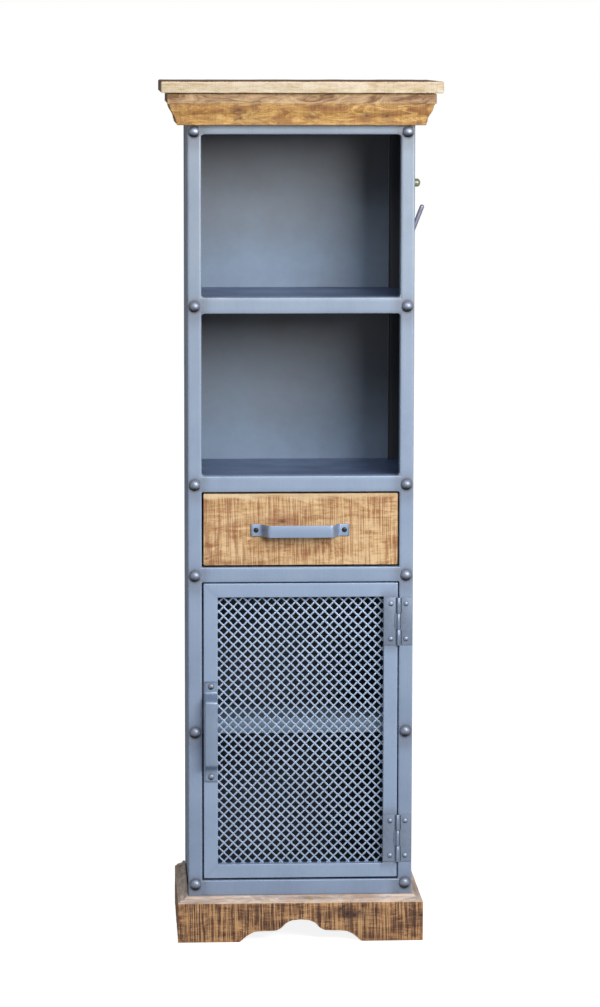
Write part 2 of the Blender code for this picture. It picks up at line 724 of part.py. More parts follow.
clear_scene()
CABINET = new_collection("Display cabinet")
CUTTERS = new_collection("Cutters")

STEEL = new_material("frame_steel", (0.40, 0.47, 0.57), 0.42, 0.0)
HANDLE_STEEL = new_material("handle_steel", (0.42, 0.47, 0.58), 0.38, 0.0)
MESH_STEEL = new_material("mesh_steel", (0.30, 0.35, 0.44), 0.45, 0.0)
DARK_STEEL = new_material("fixing_steel", (0.05, 0.05, 0.06), 0.45, 0.0)
PEG_METAL = new_material("peg_metal", (0.28, 0.29, 0.20), 0.45, 0.0)
CATCH_PLASTIC = new_material("catch_plastic", (0.03, 0.03, 0.03), 0.5, 0.0)
TOP_WOOD = new_material("top_wood", (0.62, 0.50, 0.36), 0.55, 0.0)
CROWN_WOOD = new_material("crown_wood", (0.52, 0.30, 0.13), 0.50, 0.0)
DRAWER_WOOD = new_material("drawer_wood", (0.55, 0.34, 0.16), 0.55, 0.0)
PLINTH_WOOD = new_material("plinth_wood", (0.33, 0.19, 0.10), 0.60, 0.0)

make_wood()
make_frame()
make_panels()
make_drawer()
make_door()
make_hook()
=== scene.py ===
"""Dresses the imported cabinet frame: a welded steel cabinet with a sawn-wood crown, plinth and drawer."""

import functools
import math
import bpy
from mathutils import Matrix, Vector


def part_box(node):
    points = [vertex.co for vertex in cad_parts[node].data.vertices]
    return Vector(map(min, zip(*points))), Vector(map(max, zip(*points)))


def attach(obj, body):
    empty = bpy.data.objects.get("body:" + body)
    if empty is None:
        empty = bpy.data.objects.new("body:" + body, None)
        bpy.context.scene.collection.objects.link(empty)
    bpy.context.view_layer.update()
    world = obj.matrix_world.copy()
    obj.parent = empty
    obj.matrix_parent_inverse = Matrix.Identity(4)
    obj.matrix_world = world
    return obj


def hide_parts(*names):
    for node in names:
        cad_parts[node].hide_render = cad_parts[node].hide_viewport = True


bl_info = {
    "name": "Steel and sawn wood cabinet",
    "version": (1, 0, 0),
    "blender": (4, 5, 0),
    "location": "3D View > Sidebar > Cabinet",
    "description": "Builds the visible pieces of a tall steel cabinet around its packed frame",
    "category": "Object",
}

import bmesh
import bpy
import numpy as np
from bpy.props import FloatProperty, FloatVectorProperty, IntProperty, PointerProperty
from mathutils import Euler, Matrix, Vector

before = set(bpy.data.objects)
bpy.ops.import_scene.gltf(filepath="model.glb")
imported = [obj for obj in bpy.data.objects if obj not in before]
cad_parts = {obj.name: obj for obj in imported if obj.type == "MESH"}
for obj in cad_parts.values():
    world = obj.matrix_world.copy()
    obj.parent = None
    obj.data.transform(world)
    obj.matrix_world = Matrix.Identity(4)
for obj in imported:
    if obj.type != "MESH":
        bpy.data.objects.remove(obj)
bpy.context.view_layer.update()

# ---- Places read from the frame -----------------------------------------------------------------


def low(node):
    """Lowest corner of a node's box."""
    return np.array(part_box(node)[0])


def high(node):
    """Highest corner of a node's box."""
    return np.array(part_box(node)[1])


def middle(node):
    """Middle of a node's box."""
    return (low(node) + high(node)) / 2


FRONT = low("post_front_left")[1]
REAR = high("post_back_left")[1]
SIDE = high("post_front_right")[0]
TUBE = SIDE - low("post_front_right")[0]
INNER = SIDE - TUBE
POST_TOP = high("post_front_left")[2]
WOOD_REAR = high("top_board")[1]
SEAM = 0.00015  # half the gap left between two wooden pieces
TUBE_WALL = 0.002
CLEAR = 0.0003  # gap kept between pieces that touch
RIVET_RADIUS = (high("rivet_left_1")[0] - low("rivet_left_1")[0]) / 2
RIVET_LEVELS = np.array([middle(f"rivet_left_{n}")[2] for n in range(1, 7)])
RAILS = ("rail_top", "rail_shelf", "rail_deck", "rail_drawer", "rail_bottom")
OPEN_BAYS = (("rail_top", "rail_shelf"), ("rail_shelf", "rail_deck"))


# ---- Numpy surfaces -----------------------------------------------------------------------------


def value_noise(points, cell, seed):
    """Smooth noise from -1 to 1: random numbers on the corners of a cubic lattice, blended inside each
    cell by the weights 3t^2 - 2t^3 along each axis."""
    lattice = np.random.default_rng(seed).uniform(-1, 1, (32, 32, 32))
    scaled = np.asarray(points) / cell
    base = np.floor(scaled).astype(int)
    part = scaled - base
    part = part * part * (3 - 2 * part)
    total = np.zeros(scaled.shape[:-1])
    for corner in np.ndindex(2, 2, 2):
        weight = np.where(np.array(corner) == 1, part, 1 - part).prod(axis=-1)
        at = (base + corner) % 32
        total += weight * lattice[at[..., 0], at[..., 1], at[..., 2]]
    return total


def grid(x, y, z):
    """A grid of points from its coordinates, each stretched to the shape of the three together."""
    return np.stack(np.broadcast_arrays(x, y, z), axis=-1)


def surface(points, wrap_rows=False, wrap_columns=False, caps=False, **values):
    """Four-sided faces over a grid of points. A wrapped direction is closed on itself, and caps fill
    the first and last rows. Each value is one number for every point of the grid."""
    rows, columns = points.shape[:2]
    index = np.arange(rows * columns).reshape(rows, columns)
    ends = (index[0][::-1], index[-1])
    if wrap_rows:
        index = np.vstack([index, index[:1]])
    if wrap_columns:
        index = np.hstack([index, index[:, :1]])
    quads = np.stack([index[:-1, :-1], index[:-1, 1:], index[1:, 1:], index[1:, :-1]], axis=-1)
    loops = quads.reshape(-1)
    sizes = np.full(quads.shape[0] * quads.shape[1], 4)
    if caps:
        loops = np.concatenate([loops, *ends])
        sizes = np.concatenate([sizes, [columns, columns]])
    values = {name: np.broadcast_to(value, (rows, columns)).reshape(-1) for name, value in values.items()}
    return {"points": points.reshape(-1, 3), "loops": loops, "sizes": sizes, "values": values}


def gathered(surfaces):
    """Several surfaces as one, each keeping its own points; a value that one lacks is 0 there."""
    surfaces = list(surfaces)
    counts = [len(part["points"]) for part in surfaces]
    starts = np.concatenate([[0], np.cumsum(counts)[:-1]])
    names = sorted({name for part in surfaces for name in part["values"]})
    values = {
        name: np.concatenate([part["values"].get(name, np.zeros(n)) for part, n in zip(surfaces, counts)])
        for name in names
    }
    return {
        "points": np.concatenate([part["points"] for part in surfaces]),
        "loops": np.concatenate([part["loops"] + start for part, start in zip(surfaces, starts)]),
        "sizes": np.concatenate([part["sizes"] for part in surfaces]),
        "values": values,
    }


def moved(part, turn=None, shift=(0, 0, 0)):
    """The surface turned about the origin by a rotation, then shifted."""
    points = part["points"]
    if turn is not None:
        points = points @ np.array(Euler(turn).to_matrix()).T
    return {**part, "points": points + np.asarray(shift)}


def piece(name, part, material, body, slot, replaced=(), sharp=38.0):
    """Makes the surface an object: its doubles are merged, holes closed, and faces turned outwards."""
    mesh = bpy.data.meshes.new(name)
    mesh.vertices.add(len(part["points"]))
    mesh.vertices.foreach_set("co", part["points"].astype(np.float32).reshape(-1))
    mesh.loops.add(len(part["loops"]))
    mesh.loops.foreach_set("vertex_index", part["loops"].astype(np.int32))
    mesh.polygons.add(len(part["sizes"]))
    starts = np.concatenate([[0], np.cumsum(part["sizes"])[:-1]])
    mesh.polygons.foreach_set("loop_start", starts.astype(np.int32))
    mesh.update(calc_edges=True)
    mesh.validate()
    for value_name, value in part["values"].items():
        attribute = mesh.attributes.new(f"{value_name}_value", "FLOAT", "POINT")
        attribute.data.foreach_set("value", value.astype(np.float32))
    bm = bmesh.new()
    bm.from_mesh(mesh)
    bmesh.ops.remove_doubles(bm, verts=bm.verts, dist=1e-6)
    bmesh.ops.dissolve_degenerate(bm, edges=bm.edges, dist=1e-7)
    open_edges = [edge for edge in bm.edges if edge.is_boundary]
    if open_edges:
        bmesh.ops.holes_fill(bm, edges=open_edges, sides=0)
    bmesh.ops.recalc_face_normals(bm, faces=bm.faces)
    bm.to_mesh(mesh)
    bm.free()
    mesh.shade_smooth()
    mesh.set_sharp_from_angle(angle=math.radians(sharp))
    mesh.materials.append(material)
    obj = bpy.data.objects.new(name, mesh)
    bpy.context.scene.collection.objects.link(obj)
    if slot is None:
        return obj
    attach(obj, body)
    if replaced:
        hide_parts(*replaced)
    return obj


def rounded_ring(half_x, half_y, radius, corner_steps=4, side_steps=1):
    """A rectangle about the origin whose corners are quarter circles, as points going anticlockwise,
    with each side divided evenly."""
    angle = np.linspace(0, math.pi / 2, corner_steps + 1)
    arcs = []
    for quarter, (sx, sy) in enumerate(((1, 1), (-1, 1), (-1, -1), (1, -1))):
        turned = angle + quarter * math.pi / 2
        x = sx * (half_x - radius) + radius * np.cos(turned)
        y = sy * (half_y - radius) + radius * np.sin(turned)
        arcs.append(np.stack([x, y], axis=1))
    parts = []
    share = np.linspace(0, 1, side_steps + 1)[1:-1, None]
    for here, there in zip(arcs, arcs[1:] + arcs[:1]):
        parts += [here, here[-1] + (there[0] - here[-1]) * share]
    return np.concatenate(parts)


def bends(start, corners, end, steps):
    """Curves that cut corners, each through a start and an end and weighted (1-t)^2, 2t(1-t), t^2."""
    t = np.linspace(0, 1, steps)[None, :, None]
    curve = (1 - t) ** 2 * start[:, None] + 2 * t * (1 - t) * corners[:, None] + t**2 * end[:, None]
    return curve.reshape(-1, 2)


def softened(outline, radius, steps=3):
    """A closed outline with each corner cut by a curve between the points at radius before and after
    it, or at 0.45 of a short edge."""
    before = np.roll(outline, 1, axis=0) - outline
    after = np.roll(outline, -1, axis=0) - outline
    ends = []
    for edge in (before, after):
        length = np.linalg.norm(edge, axis=1, keepdims=True)
        ends.append(outline + edge / length * np.minimum(radius, 0.45 * length))
    return bends(ends[0], outline, ends[1], steps)


def stepped(here, there, spacing):
    """Points from one place up to another, without its last, no further apart than spacing."""
    steps = max(1, math.ceil(np.linalg.norm(there - here) / spacing))
    return here + (there - here) * np.linspace(0, 1, steps, endpoint=False)[:, None]


def divided(outline, spacing):
    """A closed outline with its long edges divided so that no step is longer than spacing."""
    nexts = np.roll(outline, -1, axis=0)
    return np.concatenate([stepped(here, there, spacing) for here, there in zip(outline, nexts)])


def quarter_curve(radius, steps):
    """How far a rounded edge is drawn in, radius (1 - cos a), and how far it rises, radius sin a, along
    a quarter circle."""
    angle = np.linspace(0, math.pi / 2, steps)
    return radius * (1 - np.cos(angle)), radius * np.sin(angle)


def block(low_corner, high_corner, radius):
    """A block with rounded edges: rounded rectangles stacked along Z, those at each end drawn in along
    a quarter circle, closed by flat ends."""
    low_corner, high_corner = np.array(low_corner), np.array(high_corner)
    half = (high_corner - low_corner) / 2
    steps = 3
    least = radius * 0.05  # corner radius left at the flat ends
    inset, rise = quarter_curve(radius, steps + 1)
    insets = np.concatenate([inset[::-1], inset])
    heights = np.concatenate([-half[2] + radius - rise[::-1], half[2] - radius + rise])
    flat = np.stack([rounded_ring(half[0] - d, half[1] - d, max(radius - d, least), steps) for d in insets])
    points = grid(flat[..., 0], flat[..., 1], heights[:, None])
    return moved(surface(points, wrap_columns=True, caps=True), shift=(high_corner + low_corner) / 2)


def revolved(profile, steps):
    """Points of a profile of (radius, height) turned about Z: x = r cos a, y = r sin a."""
    angle = np.linspace(0, math.tau, steps, endpoint=False)
    radius = profile[:, :1]
    return grid(radius * np.cos(angle), radius * np.sin(angle), profile[:, 1:])


def turned(profile, steps, ripple=0.0, seed=0):
    """A profile turned about Z, with both its ends on the axis. Ripple pushes each point in or out by
    smooth noise, as on a hammered head."""
    profile = np.asarray(profile, dtype=float)
    points = revolved(profile, steps)
    if ripple:
        size = profile[:, 0].max()
        above = profile[:, 1:] > 0
        points[..., :2] *= 1 + ripple * value_noise(points, size * 0.8, seed)[..., None]
        points[..., 2] += ripple * size * 0.5 * value_noise(points, size * 0.7, seed + 1) * above
    return surface(points, wrap_columns=True)


def dome(radius, height, steps=7):
    """(radius, height) from a domed head's rim up to its top, along a quarter ellipse."""
    angle = np.linspace(0, math.pi / 2, steps)
    profile = np.stack([radius * np.cos(angle), height * np.sin(angle)], axis=1)
    profile[-1, 0] = 0
    return profile


def head_of(radius, height, sink, steps, ripple=0.0, seed=0):
    """A domed head standing on the plane z = 0, with a small shank sunk under it."""
    foot = [(0, -sink), (radius * 0.6, -sink), (radius * 0.97, 0)]
    return turned(np.concatenate([foot, dome(radius, height)]), steps, ripple, seed)


def directions(path):
    """Unit direction of a path at each of its points."""
    along = np.gradient(path, axis=0)
    return along / np.linalg.norm(along, axis=1, keepdims=True)


def square_to(along):
    """Directions turned a quarter turn."""
    return np.stack([-along[:, 1], along[:, 0]], axis=1)


def rod(path, radius, steps):
    """A round rod along a path in the XZ plane: a circle carried along, square to the path. Its first
    end is flat and its last one is closed by a dome."""
    along = directions(path)
    angle = np.linspace(0, math.pi / 2, 6)[1:]
    path = np.concatenate([path, path[-1] + along[-1] * radius * np.sin(angle)[:, None]])
    along = np.concatenate([along, np.repeat(along[-1:], len(angle), axis=0)])
    size = np.concatenate([np.full(len(path) - len(angle), radius), radius * np.cos(angle)])[:, None]
    size[-1] = 0
    across = square_to(along)
    turn = np.linspace(0, math.tau, steps, endpoint=False)
    x = path[:, :1] + across[:, :1] * size * np.cos(turn)
    z = path[:, 1:] + across[:, 1:] * size * np.cos(turn)
    return surface(grid(x, size * np.sin(turn), z), wrap_columns=True)


def strap(path, width, thickness, rounding):
    """A flat strap: a rounded rectangle carried along a path in the XZ plane, its width along Y, its
    thickness square to the path."""
    across = square_to(directions(path))
    ring = rounded_ring(thickness / 2, width / 2, rounding, 3, 2)
    x = path[:, :1] + across[:, :1] * ring[:, 0]
    z = path[:, 1:] + across[:, 1:] * ring[:, 0]
    return surface(grid(x, ring[:, 1], z), wrap_columns=True, caps=True)


def way(corners, radius, spacing, steps=6):
    """An open path through corner points with each inner corner cut by the curve that softened uses,
    and with its straight stretches divided."""
    corners = np.asarray(corners, dtype=float)
    here, there = corners[:-1], corners[1:]
    length = np.linalg.norm(there - here, axis=1, keepdims=True)
    unit = (there - here) / length
    start = corners[1:-1] - unit[:-1] * np.minimum(radius, 0.45 * length[:-1])
    end = corners[1:-1] + unit[1:] * np.minimum(radius, 0.45 * length[1:])
    stations = np.concatenate([corners[:1], bends(start, corners[1:-1], end, steps), corners[-1:]])
    parts = [stepped(a, b, spacing) for a, b in zip(stations[:-1], stations[1:])]
    return np.concatenate([*parts, stations[-1:]])


# ---- Material building --------------------------------------------------------------------------


class Graph:
    """Short ways to add and join the nodes of one material or node group."""

    def __init__(self, tree):
        self.tree = tree

    def node(self, kind, inputs=None, **settings):
        """A new node, with its settings made and its inputs fed."""
        made = self.tree.nodes.new(kind)
        for name, value in settings.items():
            setattr(made, name, value)
        for name, value in (inputs or {}).items():
            self.feed(made.inputs[name], value)
        return made

    def feed(self, socket, value):
        """Links an output to a socket, or sets the socket to a plain value."""
        if isinstance(value, bpy.types.NodeSocket):
            self.tree.links.new(value, socket)
        elif socket.type == "RGBA" and len(value) == 3:
            socket.default_value = (*value, 1.0)
        else:
            socket.default_value = value

    def math(self, operation, a, b=0.0, c=0.0, clamp=False):
        """One step of arithmetic."""
        made = self.node("ShaderNodeMath", {0: a, 1: b, 2: c}, operation=operation, use_clamp=clamp)
        return made.outputs[0]

    def times(self, a, b, clamp=False):
        """The product of two numbers."""
        return self.math("MULTIPLY", a, b, clamp=clamp)

    def swayed(self, total, amount, noise):
        """The total, plus amount times how far a noise is from its middle."""
        return self.math("MULTIPLY_ADD", self.math("SUBTRACT", noise, 0.5), amount, total)

    def mix(self, share, a, b, blend="MIX"):
        """Colour a, with a share of colour b."""
        made = self.node("ShaderNodeMix", data_type="RGBA", blend_type=blend)
        for number, value in ((0, share), (6, a), (7, b)):
            self.feed(made.inputs[number], value)
        return made.outputs[2]

    def over(self, colour, other, mask, strength, clamp=False):
        """A colour, covered by another one where a mask is, to a strength."""
        return self.mix(self.times(mask, strength, clamp), colour, other)

    def stretch(self, vector, scale, shift=(0, 0, 0)):
        """A vector scaled along each axis, then shifted."""
        values = {"Vector": vector, "Scale": scale, "Location": shift}
        return self.node("ShaderNodeMapping", values).outputs[0]

    def turn(self, vector, rotation):
        """A vector turned about the three axes."""
        return self.node("ShaderNodeMapping", {"Vector": vector, "Rotation": rotation}).outputs[0]

    def parts(self, vector):
        """The X, Y and Z of a vector."""
        return self.node("ShaderNodeSeparateXYZ", {0: vector}).outputs

    def noise(self, vector, scale, detail=3.0, roughness=0.5, distortion=0.0):
        """Fractal noise from 0 to 1."""
        values = {"Vector": vector, "Scale": scale, "Detail": detail}
        values |= {"Roughness": roughness, "Distortion": distortion}
        return self.node("ShaderNodeTexNoise", values).outputs["Fac"]

    def span(self, value, low_end, high_end, to_low=0.0, to_high=1.0):
        """The value carried from one range to another, and held inside it."""
        values = {"Value": value, "From Min": low_end, "From Max": high_end}
        values |= {"To Min": to_low, "To Max": to_high}
        return self.node("ShaderNodeMapRange", values, clamp=True).outputs[0]

    def attribute(self, name):
        """A value that a piece keeps at its points. The name ends in _value because the renderer takes
        a bare name such as heat for one of its own."""
        return self.node("ShaderNodeAttribute", attribute_name=f"{name}_value").outputs["Fac"]

    def place(self):
        """The place in the object, which is also the place in the cabinet."""
        return self.node("ShaderNodeTexCoord").outputs["Object"]

    def bump(self, shader, height, strength, distance):
        """Raises the shader's surface by a height."""
        made = self.node("ShaderNodeBump", {"Height": height, "Strength": strength, "Distance": distance})
        self.feed(shader.inputs["Normal"], made.outputs[0])


def group(name, inputs, outputs, build):
    """A node group that puts out numbers. Each input has its default, and a vector's is None."""
    tree = bpy.data.node_groups.new(name, "ShaderNodeTree")
    for socket_name, default in inputs.items():
        kind = "NodeSocketVector" if default is None else "NodeSocketFloat"
        socket = tree.interface.new_socket(socket_name, in_out="INPUT", socket_type=kind)
        if default is not None:
            socket.default_value = default
    for socket_name in outputs:
        tree.interface.new_socket(socket_name, in_out="OUTPUT", socket_type="NodeSocketFloat")
    graph = Graph(tree)
    source = tree.nodes.new("NodeGroupInput")
    results = build(graph, {socket.name: socket for socket in source.outputs if socket.name})
    sink = tree.nodes.new("NodeGroupOutput")
    for socket_name, value in results.items():
        tree.links.new(value, sink.inputs[socket_name])
    return tree


def placed(graph, tree, **inputs):
    """One use of a node group, with spaces in its input names written as underscores."""
    made = graph.tree.nodes.new("ShaderNodeGroup")
    made.node_tree = tree
    for name, value in inputs.items():
        graph.feed(made.inputs[name.replace("_", " ")], value)
    return made.outputs


def build_grain(graph, given):
    """Grain along X: slow noise bends the place, then broad clouds, contour lines of a second slow noise
    (sin of many times its value) and fine streaks are added up, over short dark pores."""
    vector = given["Vector"]
    slow = graph.noise(graph.stretch(vector, (5, 14, 14)), 1.0, 3.0)
    bend = graph.times(graph.math("SUBTRACT", slow, 0.5), given["Swirl"])
    offset = graph.node("ShaderNodeCombineXYZ", {"X": bend, "Y": bend, "Z": bend}).outputs[0]
    bent = graph.node("ShaderNodeVectorMath", {0: vector, 1: offset}, operation="ADD").outputs[0]
    clouds = graph.noise(graph.stretch(bent, (11, 42, 42)), 1.0, 4.0, 0.6, 0.8)
    contour = graph.noise(graph.stretch(bent, (3.5, 17, 17)), 1.0, 2.0, 0.4, 0.4)
    lines = graph.math("SINE", graph.times(contour, 85.0))
    streaks = graph.noise(graph.stretch(bent, (22, 420, 420)), 1.0, 3.0, 0.6)
    tone = graph.swayed(clouds, given["Streaks"], streaks)
    tone = graph.math("ADD", graph.math("MULTIPLY_ADD", lines, 0.018, tone), given["Lift"])
    pores = graph.noise(graph.stretch(bent, (90, 900, 900), (7, 3, 5)), 1.0, 1.0)
    pores = graph.span(pores, 0.60, 0.72)
    height = graph.math("SUBTRACT", graph.math("ADD", tone, streaks), pores)
    return {"Tone": tone, "Pores": pores, "Lines": graph.span(lines, 0.55, 1.0), "Height": height}


def build_saw(graph, given):
    """Marks left across the grain by a saw: three noises squeezed along X, at about 20, 6 and 2.5 mm,
    are added up, broken along their length by a fourth, and cut into dark lines and pale ones. A fifth
    noise, at 1.5 mm, adds hair lines in patches."""
    leaning = graph.turn(given["Vector"], (0, 0.012, 0))
    wide = graph.noise(graph.stretch(leaning, (48, 9, 11)), 1.0, 2.0, 0.6)
    middling = graph.noise(graph.stretch(leaning, (165, 5, 9), (3, 1, 0)), 1.0, 1.0, 0.6)
    fine = graph.noise(graph.stretch(leaning, (400, 7, 14), (5, 2, 1)), 1.0, 1.0, 0.6)
    torn = graph.noise(given["Vector"], 270.0, 3.0, 0.7)
    total = middling
    for amount, noise in ((0.35, wide), (2.0, fine), (0.4, torn)):
        total = graph.swayed(total, amount, noise)
    hair = graph.noise(graph.stretch(leaning, (640, 3, 6), (9, 4, 2)), 1.0, 0.0)
    broken = graph.span(graph.noise(graph.stretch(given["Vector"], (60, 20, 20)), 1.0, 2.0), 0.35, 0.60)
    dark_hair = graph.times(graph.span(hair, 0.58, 0.72), broken)
    pale_hair = graph.times(graph.span(hair, 0.42, 0.30), broken)
    lines = graph.math("MAXIMUM", graph.times(graph.span(total, 0.55, 0.80), 0.85), dark_hair)
    pale = graph.math("MAXIMUM", graph.span(total, 0.48, 0.22), pale_hair)
    return {"Lines": lines, "Pale": pale, "Height": graph.math("SUBTRACT", 1.0, total)}


def build_knot(graph, given):
    """A knot: the distance from its centre, wider along X and bent by noise, gives a dark eye, thin
    rings round it and a reddish halo."""
    away = graph.node("ShaderNodeVectorMath", {0: given["Vector"], 1: given["Centre"]}, operation="SUBTRACT")
    flat = graph.stretch(away.outputs[0], (0.62, 0.25, 1.0))
    wobble = graph.times(graph.noise(given["Vector"], 60.0, 3.0), given["Size"])
    length = graph.node("ShaderNodeVectorMath", {0: flat}, operation="LENGTH").outputs["Value"]
    bent = graph.math("ADD", length, graph.times(wobble, 0.9))
    apart = graph.math("DIVIDE", bent, given["Size"])
    eye = graph.span(apart, 1.25, 0.65)
    halo = graph.span(apart, 3.6, 0.9)
    waves = graph.math("SINE", graph.times(apart, 13.0))
    return {"Eye": eye, "Halo": halo, "Rings": graph.times(graph.span(waves, 0.2, 1.0), halo)}


def build_patina(graph, given):
    """Tone of bare steel under clear lacquer: slow clouds, faint rubbing marks along Z, specks, and an
    edge mask and a dark-tint mask for heat tint and painted shade, each broken up by noise."""
    vector = given["Vector"]
    clouds = graph.noise(vector, 9.0, 4.0, 0.6)
    rubbed = graph.noise(graph.stretch(vector, (420, 420, 16)), 1.0, 3.0)
    speck = graph.span(graph.noise(vector, 380.0, 2.0), 0.68, 0.78)
    tone = graph.swayed(clouds, given["Rub"], rubbed)
    torn = graph.noise(vector, 190.0, 4.0, 0.6)
    edge = graph.times(given["Wear"], graph.span(torn, 0.42, 0.62))
    heat = graph.times(given["Heat and shade"], graph.span(torn, 0.15, 0.75, 0.55, 1.0), clamp=True)
    return {"Tone": tone, "Rubbed": rubbed, "Specks": speck, "Edge": edge, "Heat and shade": heat}


def build_worn_edge(graph, given):
    """Where a wooden edge is rubbed: the edge value, torn by coarse and fine noise."""
    torn = graph.noise(given["Vector"], 55.0, 4.0, 0.65)
    return {"Edge": graph.times(given["Wear"], graph.span(torn, 0.38, 0.62))}


GRAIN = group(
    "Wood grain",
    {"Vector": None, "Swirl": 0.02, "Streaks": 0.4, "Lift": 0.0},
    ("Tone", "Pores", "Lines", "Height"),
    build_grain,
)
SAW = group("Saw marks", {"Vector": None}, ("Lines", "Pale", "Height"), build_saw)
KNOT = group("Knot", {"Vector": None, "Centre": None, "Size": 0.008}, ("Eye", "Halo", "Rings"), build_knot)
PATINA = group(
    "Steel patina",
    {"Vector": None, "Wear": 0.0, "Heat and shade": 0.0, "Rub": 0.2},
    ("Tone", "Rubbed", "Specks", "Edge", "Heat and shade"),
    build_patina,
)
WORN_EDGE = group("Worn wooden edge", {"Vector": None, "Wear": 0.0}, ("Edge",), build_worn_edge)


def new_material(name):
    """An empty material with its shader, and the graph that its nodes are added to."""
    material = bpy.data.materials.new(name)
    material.use_nodes = True
    return material, Graph(material.node_tree), material.node_tree.nodes["Principled BSDF"]


def scaled(tone, factor):
    """A colour with each channel times a factor, at most 1."""
    return tuple(min(1.0, factor * channel) for channel in tone)


def steel(
    name, pale, dark, roughness=0.40, metallic=0.25, bump=0.00012, specks=0.5, rub=0.2, edge=0.5, heat_and_shade_tone=None
):
    """Steel whose colour runs between two tones, darker by its dark-tint value for heat tint and painted
    shade, and paler on its edges.
    """
    material, graph, shader = new_material(name)
    place = graph.place()
    made = {"Wear": graph.attribute("wear"), "Heat and shade": graph.attribute("heat"), "Rub": rub}
    patina = placed(graph, PATINA, Vector=place, **made)
    pale, dark = tuple(pale), tuple(dark)
    colour = graph.mix(graph.span(patina["Tone"], 0.32, 0.68), dark, pale)
    heat_and_shade_colour = heat_and_shade_tone or tuple(bpy.context.scene.cabinet_steel.heat_and_shade_colour)
    colour = graph.mix(patina["Heat and shade"], colour, heat_and_shade_colour)
    colour = graph.over(colour, scaled(dark, 0.55), patina["Specks"], specks)
    colour = graph.over(colour, scaled(pale, 1.25), patina["Edge"], edge)
    graph.feed(shader.inputs["Base Color"], colour)
    rough = graph.span(patina["Tone"], 0.3, 0.7, roughness + 0.07, roughness - 0.05)
    rough = graph.math("SUBTRACT", rough, graph.times(patina["Edge"], 0.1))
    graph.feed(shader.inputs["Roughness"], rough)
    shader.inputs["Metallic"].default_value = metallic
    fine = graph.noise(place, 240.0, 3.0)
    height = graph.math("ADD", graph.times(fine, 0.5), graph.times(patina["Rubbed"], 0.5))
    graph.bump(shader, height, 0.55, bump)
    return material


def wood(name, tones, swirl, streaks, lift, saw, stain, knots, band, end=None, along="X"):
    """Wood along one axis: grain between three tones, saw marks across it, knots, paler worn edges, and
    where the band value is 1, a second finish; where the end value is 1, darker end grain."""
    pale, mid, dark, line = (tuple(tone) for tone in tones)
    material, graph, shader = new_material(name)
    place = graph.place()
    if along == "Y":
        place = graph.turn(place, (0, 0, math.pi / 2))
    grain = placed(graph, GRAIN, Vector=place, Swirl=swirl, Streaks=streaks, Lift=lift)
    colour = graph.mix(graph.span(grain["Tone"], 0.34, 0.50), dark, mid)
    colour = graph.mix(graph.span(grain["Tone"], 0.46, 0.62), colour, pale)
    colour = graph.over(colour, dark, grain["Lines"], 0.35)
    patches = graph.noise(graph.stretch(place, (13, 30, 30)), 1.0, 4.0, 0.6, 1.0)
    colour = graph.mix(graph.span(patches, 0.54, 0.70, 0.0, stain), colour, line)
    colour = graph.over(colour, line, grain["Pores"], 0.45)
    marks = placed(graph, SAW, Vector=place)
    colour = graph.over(colour, pale, marks["Pale"], 0.75 * saw, clamp=True)
    colour = graph.over(colour, line, marks["Lines"], saw, clamp=True)
    height = graph.math("ADD", grain["Height"], graph.times(marks["Height"], 1.6))
    for centre, size in knots:
        knot = placed(graph, KNOT, Vector=place, Centre=centre, Size=size)
        colour = graph.over(colour, line, knot["Halo"], 0.55)
        colour = graph.over(colour, line, knot["Rings"], 0.5)
        colour = graph.over(colour, scaled(line, 0.25), knot["Eye"], 0.85)
        height = graph.math("SUBTRACT", height, graph.times(knot["Rings"], 0.8))
    wash, wash_dark = band
    second = graph.mix(graph.span(grain["Tone"], 0.36, 0.62), wash_dark, wash)
    spots = graph.noise(graph.stretch(place, (24, 40, 40)), 1.0, 3.0)
    second = graph.mix(graph.span(spots, 0.58, 0.74, 0.0, 0.6), second, line)
    colour = graph.mix(graph.attribute("band"), colour, second)
    if end:
        colour = graph.mix(graph.attribute("end"), colour, end)
    worn = placed(graph, WORN_EDGE, Vector=place, Wear=graph.attribute("wear"))
    colour = graph.over(colour, scaled(pale, 1.15), worn["Edge"], 0.8)
    graph.feed(shader.inputs["Base Color"], colour)
    graph.feed(shader.inputs["Roughness"], graph.span(grain["Tone"], 0.3, 0.7, 0.72, 0.55))
    graph.bump(shader, height, 0.7, 0.00022)
    return material


def plain(name, colour, roughness=0.5, metallic=0.0):
    """A dark fixing or plastic finish: one tone, clouded and pitted by noise."""
    material, graph, shader = new_material(name)
    clouds = graph.noise(graph.place(), 130.0, 4.0, 0.6)
    shade = scaled(colour, 0.55)
    graph.feed(shader.inputs["Base Color"], graph.mix(graph.span(clouds, 0.35, 0.65), shade, colour))
    graph.feed(shader.inputs["Roughness"], graph.span(clouds, 0.3, 0.7, roughness + 0.1, roughness - 0.1))
    shader.inputs["Metallic"].default_value = metallic
    graph.bump(shader, clouds, 0.5, 0.0001)
    return material


# ---- Settings -----------------------------------------------------------------------------------


def colour_property(name, description, default):
    """A colour setting."""
    return FloatVectorProperty(
        name=name, description=description, default=default, subtype="COLOR", size=3, min=0.0, max=1.0
    )


def number_property(name, description, default, least=0.0, **kind):
    """A number setting with its unit or its subtype."""
    return FloatProperty(name=name, description=description, default=default, min=least, **kind)


def length_property(name, description, default):
    """A length setting, in metres."""
    return number_property(name, description, default, unit="LENGTH", precision=5)


